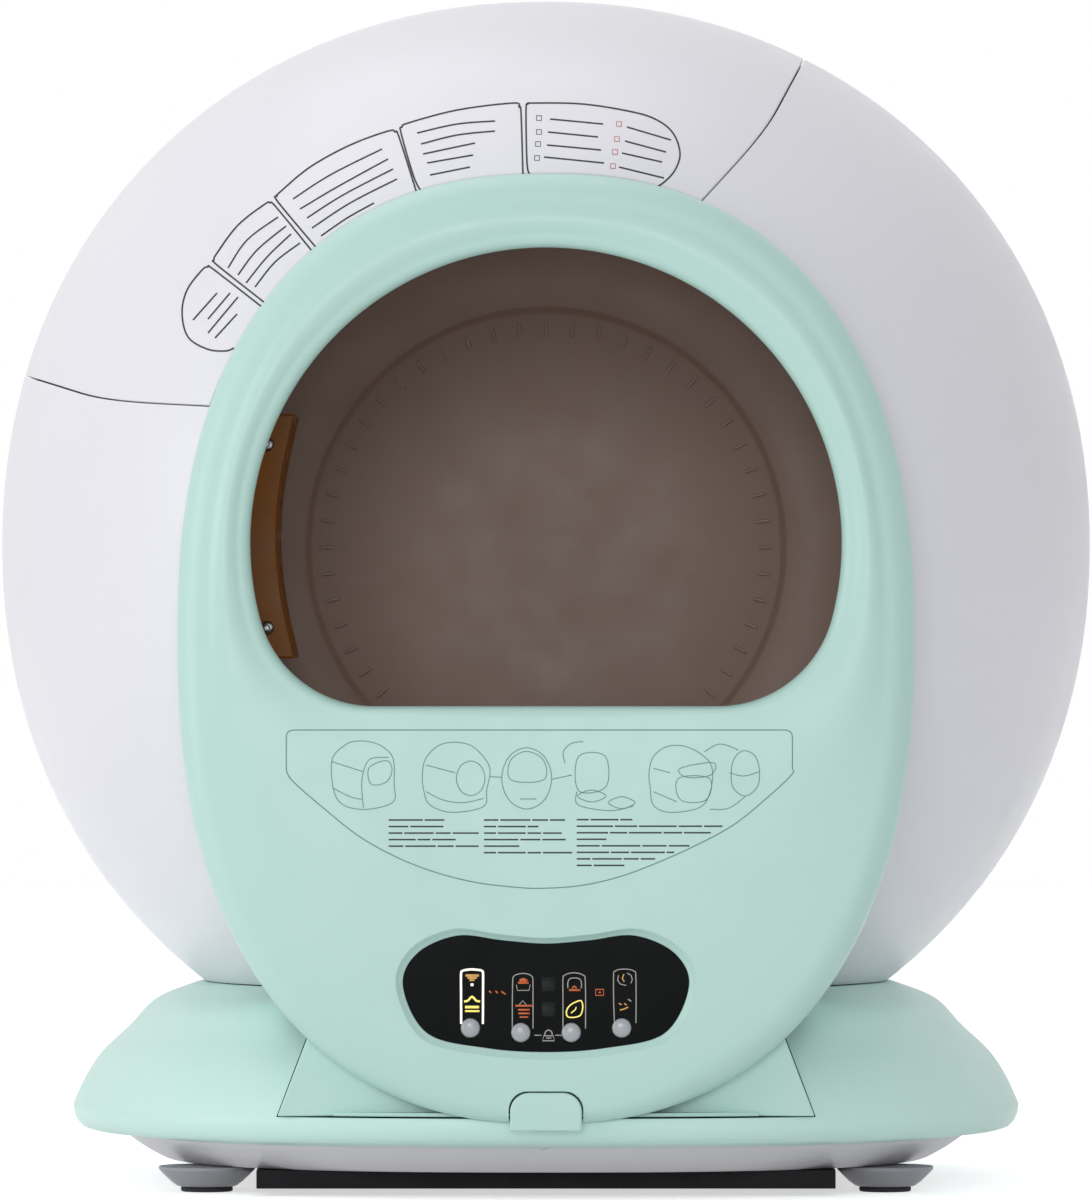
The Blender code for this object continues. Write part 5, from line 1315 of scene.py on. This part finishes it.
PANEL_MARKS = (("slot_lit", SLOT_LIT, LIT_WHITE), ("slot_marks", SLOT_MARKS, LIT_DIM),
               ("icon_yellow", ICONS_YELLOW, LIT_YELLOW), ("icon_amber", ICONS_AMBER, LIT_AMBER),
               ("icon_orange", ICONS_ORANGE, LIT_ORANGE), ("display_squares", DISPLAY_SQUARES, DISPLAY))


def build_marks():
    """The panel's four lit slots with their plain icons, its small display and its lock mark."""
    for name, marks, material in PANEL_MARKS:
        lines = []
        for half, closed, *row in marks:
            line = on_bezel(row, MARK_CORNER, MARK_PARTS)
            if len(line) > 4:
                line = smooth_loop(line, MARK_STEPS, closed)
            lines.append((line, half * MM, closed))
        print_on(ON_GLASS, name, lines, material)


# The sifter

SIFTER_RISE = 72 * MM
SIFTER_FALL = 62 * MM
SIFTER_FRONT_Y = -34 * MM
SIFTER_REAR_Y = 84 * MM
DRUM_INSIDE = 235 * MM
SIFTER_EDGE_X = -138 * MM
SIFTER_BOW = 10 * MM
SIFTER_STEPS = 28
FLANGE_DEPTH = 4 * MM
FLANGE_EDGE = 1.2 * MM
SCREEN_FRONT_Y = SIFTER_FRONT_Y + 4.4 * MM
SCREEN_EDGE = 0.5 * MM
SCREEN_WALL = 2.9 * MM
SCREEN_BAR = 5 * MM
SLOT_COUNT = 7
SLOT_CUT_X = -150 * MM
SLOT_CUT_WIDTH = 60 * MM
SCREW_COLUMNS = 32
SCREW_EDGE = 0.15 * MM

# Radius and place along Y of a screw's head, in millimetres from the flange
SCREW_PROFILE = ((0, -1.3), (1.1, -1.3), (1.5, -2.2), (2.6, -1.9), (3.5, -1.2), (3.9, -0.3), (3.9, 0), (0, 0))


def sifter_inner():
    """The bowed inner line of the sifter, from its top to its low end."""
    line = []
    for step in range(SIFTER_STEPS + 1):
        share = step / SIFTER_STEPS
        inward = SIFTER_BOW * math.sin(math.pi * share)
        line.append((SIFTER_EDGE_X - inward,
                     BALL_CENTRE_Z + SIFTER_RISE - (SIFTER_RISE + SIFTER_FALL) * share))
    return line


def build_sifter():
    """The amber flange with its screws, and the slotted screen behind it."""
    top, low = (math.pi - math.asin(rise / DRUM_INSIDE) for rise in (SIFTER_RISE, -SIFTER_FALL))
    inner = sifter_inner()
    outline = inner + arc(DRUM_INSIDE, low, top, SIFTER_STEPS)
    flange = prism_mesh("flange", [outline], SIFTER_FRONT_Y, FLANGE_DEPTH)
    bevel(link("sifter_flange_plate", flange, AMBER, "drum_assembly", ["sifter_flange"]),
          FLANGE_EDGE)
    band = inner + [(across - SCREEN_WALL, up) for across, up in inner[::-1]]
    length = SIFTER_REAR_Y - SCREEN_FRONT_Y
    screen = link("sifter_screen", prism_mesh("screen", [band], SCREEN_FRONT_Y, length), AMBER,
                  "drum_assembly", ["sifter_grid"])
    pitch = (length - SCREEN_BAR) / SLOT_COUNT
    middle = BALL_CENTRE_Z + (SIFTER_RISE - SIFTER_FALL) / 2
    slots = bmesh.new()
    for number in range(SLOT_COUNT):
        start = SCREEN_FRONT_Y + SCREEN_BAR + number * pitch
        for bottom, high in ((BALL_CENTRE_Z - SIFTER_FALL + SCREEN_BAR, middle - SCREEN_BAR / 2),
                             (middle + SCREEN_BAR / 2, BALL_CENTRE_Z + SIFTER_RISE - SCREEN_BAR)):
            add_block(slots, (SLOT_CUT_X, start + (pitch - SCREEN_BAR) / 2, (high + bottom) / 2),
                      (SLOT_CUT_WIDTH, pitch - SCREEN_BAR, high - bottom))
    cut(screen, placed("tool", finished("tool", slots)))
    bevel(screen, SCREEN_EDGE, 2)
    for node in ("sifter_screw_1", "sifter_screw_2"):
        low_corner, high_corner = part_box(node)
        centre = ((low_corner.x + high_corner.x) / 2, high_corner.y, (low_corner.z + high_corner.z) / 2)
        head = turned_mesh(node, mm(*SCREW_PROFILE), SCREW_COLUMNS, centre)
        bevel(link(node + "_head", head, STEEL, "drum_assembly", [node]), SCREW_EDGE, 2)


# The pieces that the CAD already has right

def dress_nodes():
    """Materials for the CAD's own pieces."""
    sides = ("left", "right")
    # The underside plate is black and reaches nearly to the floor between the feet. It is a painted shadow, a
    # dark sheet where there is only the shade under the base. The other pieces given this black are real
    # black plastic.
    looks = {BLACK_AND_PAINTED_SHADOW: ["underside_plate", "roller_cradle", "control_housing", "display_module", "waste_drawer",
                     "bag_ring", "power_inlet"] + ["drawer_rail_" + side for side in sides],
             BOARD: ["circuit_board"],
             RUBBER: ["drum_seal"] + [end + "_roller_" + side for end in ("front", "rear") for side in sides],
             GEAR: ["drum_ring_gear", "motor_pinion"],
             STEEL: ["motor_shaft", "gear_motor", "motor_bracket"]
                    + [end + "_axle_" + side for end in ("front", "rear") for side in sides]}
    for material, names in looks.items():
        for name in names:
            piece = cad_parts[name]
            if not piece.material_slots:
                piece.data.materials.append(material)
            for slot in piece.material_slots:
                slot.material = material


# Stage, camera and light

SENSOR_MM = 36
LENS_MM = 358.7
LAMP_AIM = (0, 0, 0.32)
CAMERA_FAR = 50
FLOOR_HALF = 6
WORLD_COLOUR = (0.95, 0.97, 1, 1)
WORLD_STRENGTH = 0.525
FLOOR_GLOW = 0.6
# Name, place, size and power in watts
LAMPS = (
    ("front", (-0.3, -4.5, 0.8), 1.2, 31),
    ("top", (-0.4, 0.2, 2.4), 1.8, 11),
    ("left", (-2.3, -1.3, 0.5), 1.6, 17),
)


def seen_or_not(beside, seen, unseen):
    """One shader for rays that the camera sees, straight on, in a gloss or through clear plastic, and
    another for the rest."""
    path = add_node(beside, "LightPath", {})
    eye = path.outputs["Is Camera Ray"]
    for name in ("Is Glossy Ray", "Is Transmission Ray"):
        either = add_node(beside, "Math", {0: eye, 1: path.outputs[name]})
        either.operation = "MAXIMUM"
        eye = either.outputs["Value"]
    return add_node(beside, "MixShader", {"Fac": eye, 1: unseen, 2: seen}).outputs["Shader"]


def build_floor():
    """A pale floor that keeps the object's shadow."""
    corners = [(across * FLOOR_HALF, along * FLOOR_HALF, 0) for across, along in
               ((-1, -1), (1, -1), (1, 1), (-1, 1))]
    mesh = mesh_of("floor", corners, [(0, 1, 2, 3)])
    material, shader = node_material("floor_white")
    drive(shader, "Base Color", noise(shader, scale=3, detail=3), grey(0.9), grey(0.92))
    feed(shader, {"Roughness": 0.9})
    plain = shader.outputs["BSDF"]
    lit = add_node(shader, "Emission", {"Strength": FLOOR_GLOW}).outputs["Emission"]
    lifted = add_node(shader, "AddShader", {0: plain, 1: lit}).outputs["Shader"]
    feed(material.node_tree.nodes["Material Output"], {"Surface": seen_or_not(shader, lifted, plain)})
    mesh.materials.append(material)
    placed("floor", mesh)


def build_world():
    """A white backdrop for the camera and a dimmer light all round for the object."""
    world = bpy.data.worlds.new("studio")
    SCENE.world = world
    world.use_nodes = True
    nodes = world.node_tree.nodes
    nodes.clear()
    output = nodes.new("ShaderNodeOutputWorld")
    white, around = (add_node(output, "Background", {"Color": colour, "Strength": strength}).outputs[0]
                     for colour, strength in (((1, 1, 1, 1), 1), (WORLD_COLOUR, WORLD_STRENGTH)))
    feed(output, {"Surface": seen_or_not(output, white, around)})


def build_stage():
    """Floor, backdrop and soft lamps."""
    build_floor()
    build_world()
    for name, place, size, power in LAMPS:
        lamp(name, place, size, power)


def lamp(name, place, size, power):
    """A soft square lamp that faces the ball."""
    light = bpy.data.lights.new(name, "AREA")
    light.size = size
    light.energy = power
    lit = placed(name, light)
    lit.location = place
    lit.rotation_euler = (Vector(LAMP_AIM) - Vector(place)).to_track_quat("-Z", "Y").to_euler()


def build_camera():
    """A long lens, level with the middle of the view."""
    camera = bpy.data.cameras.new("camera")
    camera.sensor_fit = "HORIZONTAL"
    camera.sensor_width = SENSOR_MM
    camera.lens = LENS_MM
    camera.clip_end = CAMERA_FAR
    eye = placed("camera", camera)
    eye.location = (0, -CAMERA_AWAY, CAMERA_Z)
    eye.rotation_euler = (math.radians(90), 0, 0)
    SCENE.camera = eye


build_ball()
build_base()
build_bezel()
build_drawer_front()
build_panel()
build_drum()
build_front_ring()
build_sifter()
build_prints()
build_marks()
dress_nodes()
build_stage()
build_camera()
SCENE.view_settings.view_transform = "Standard"
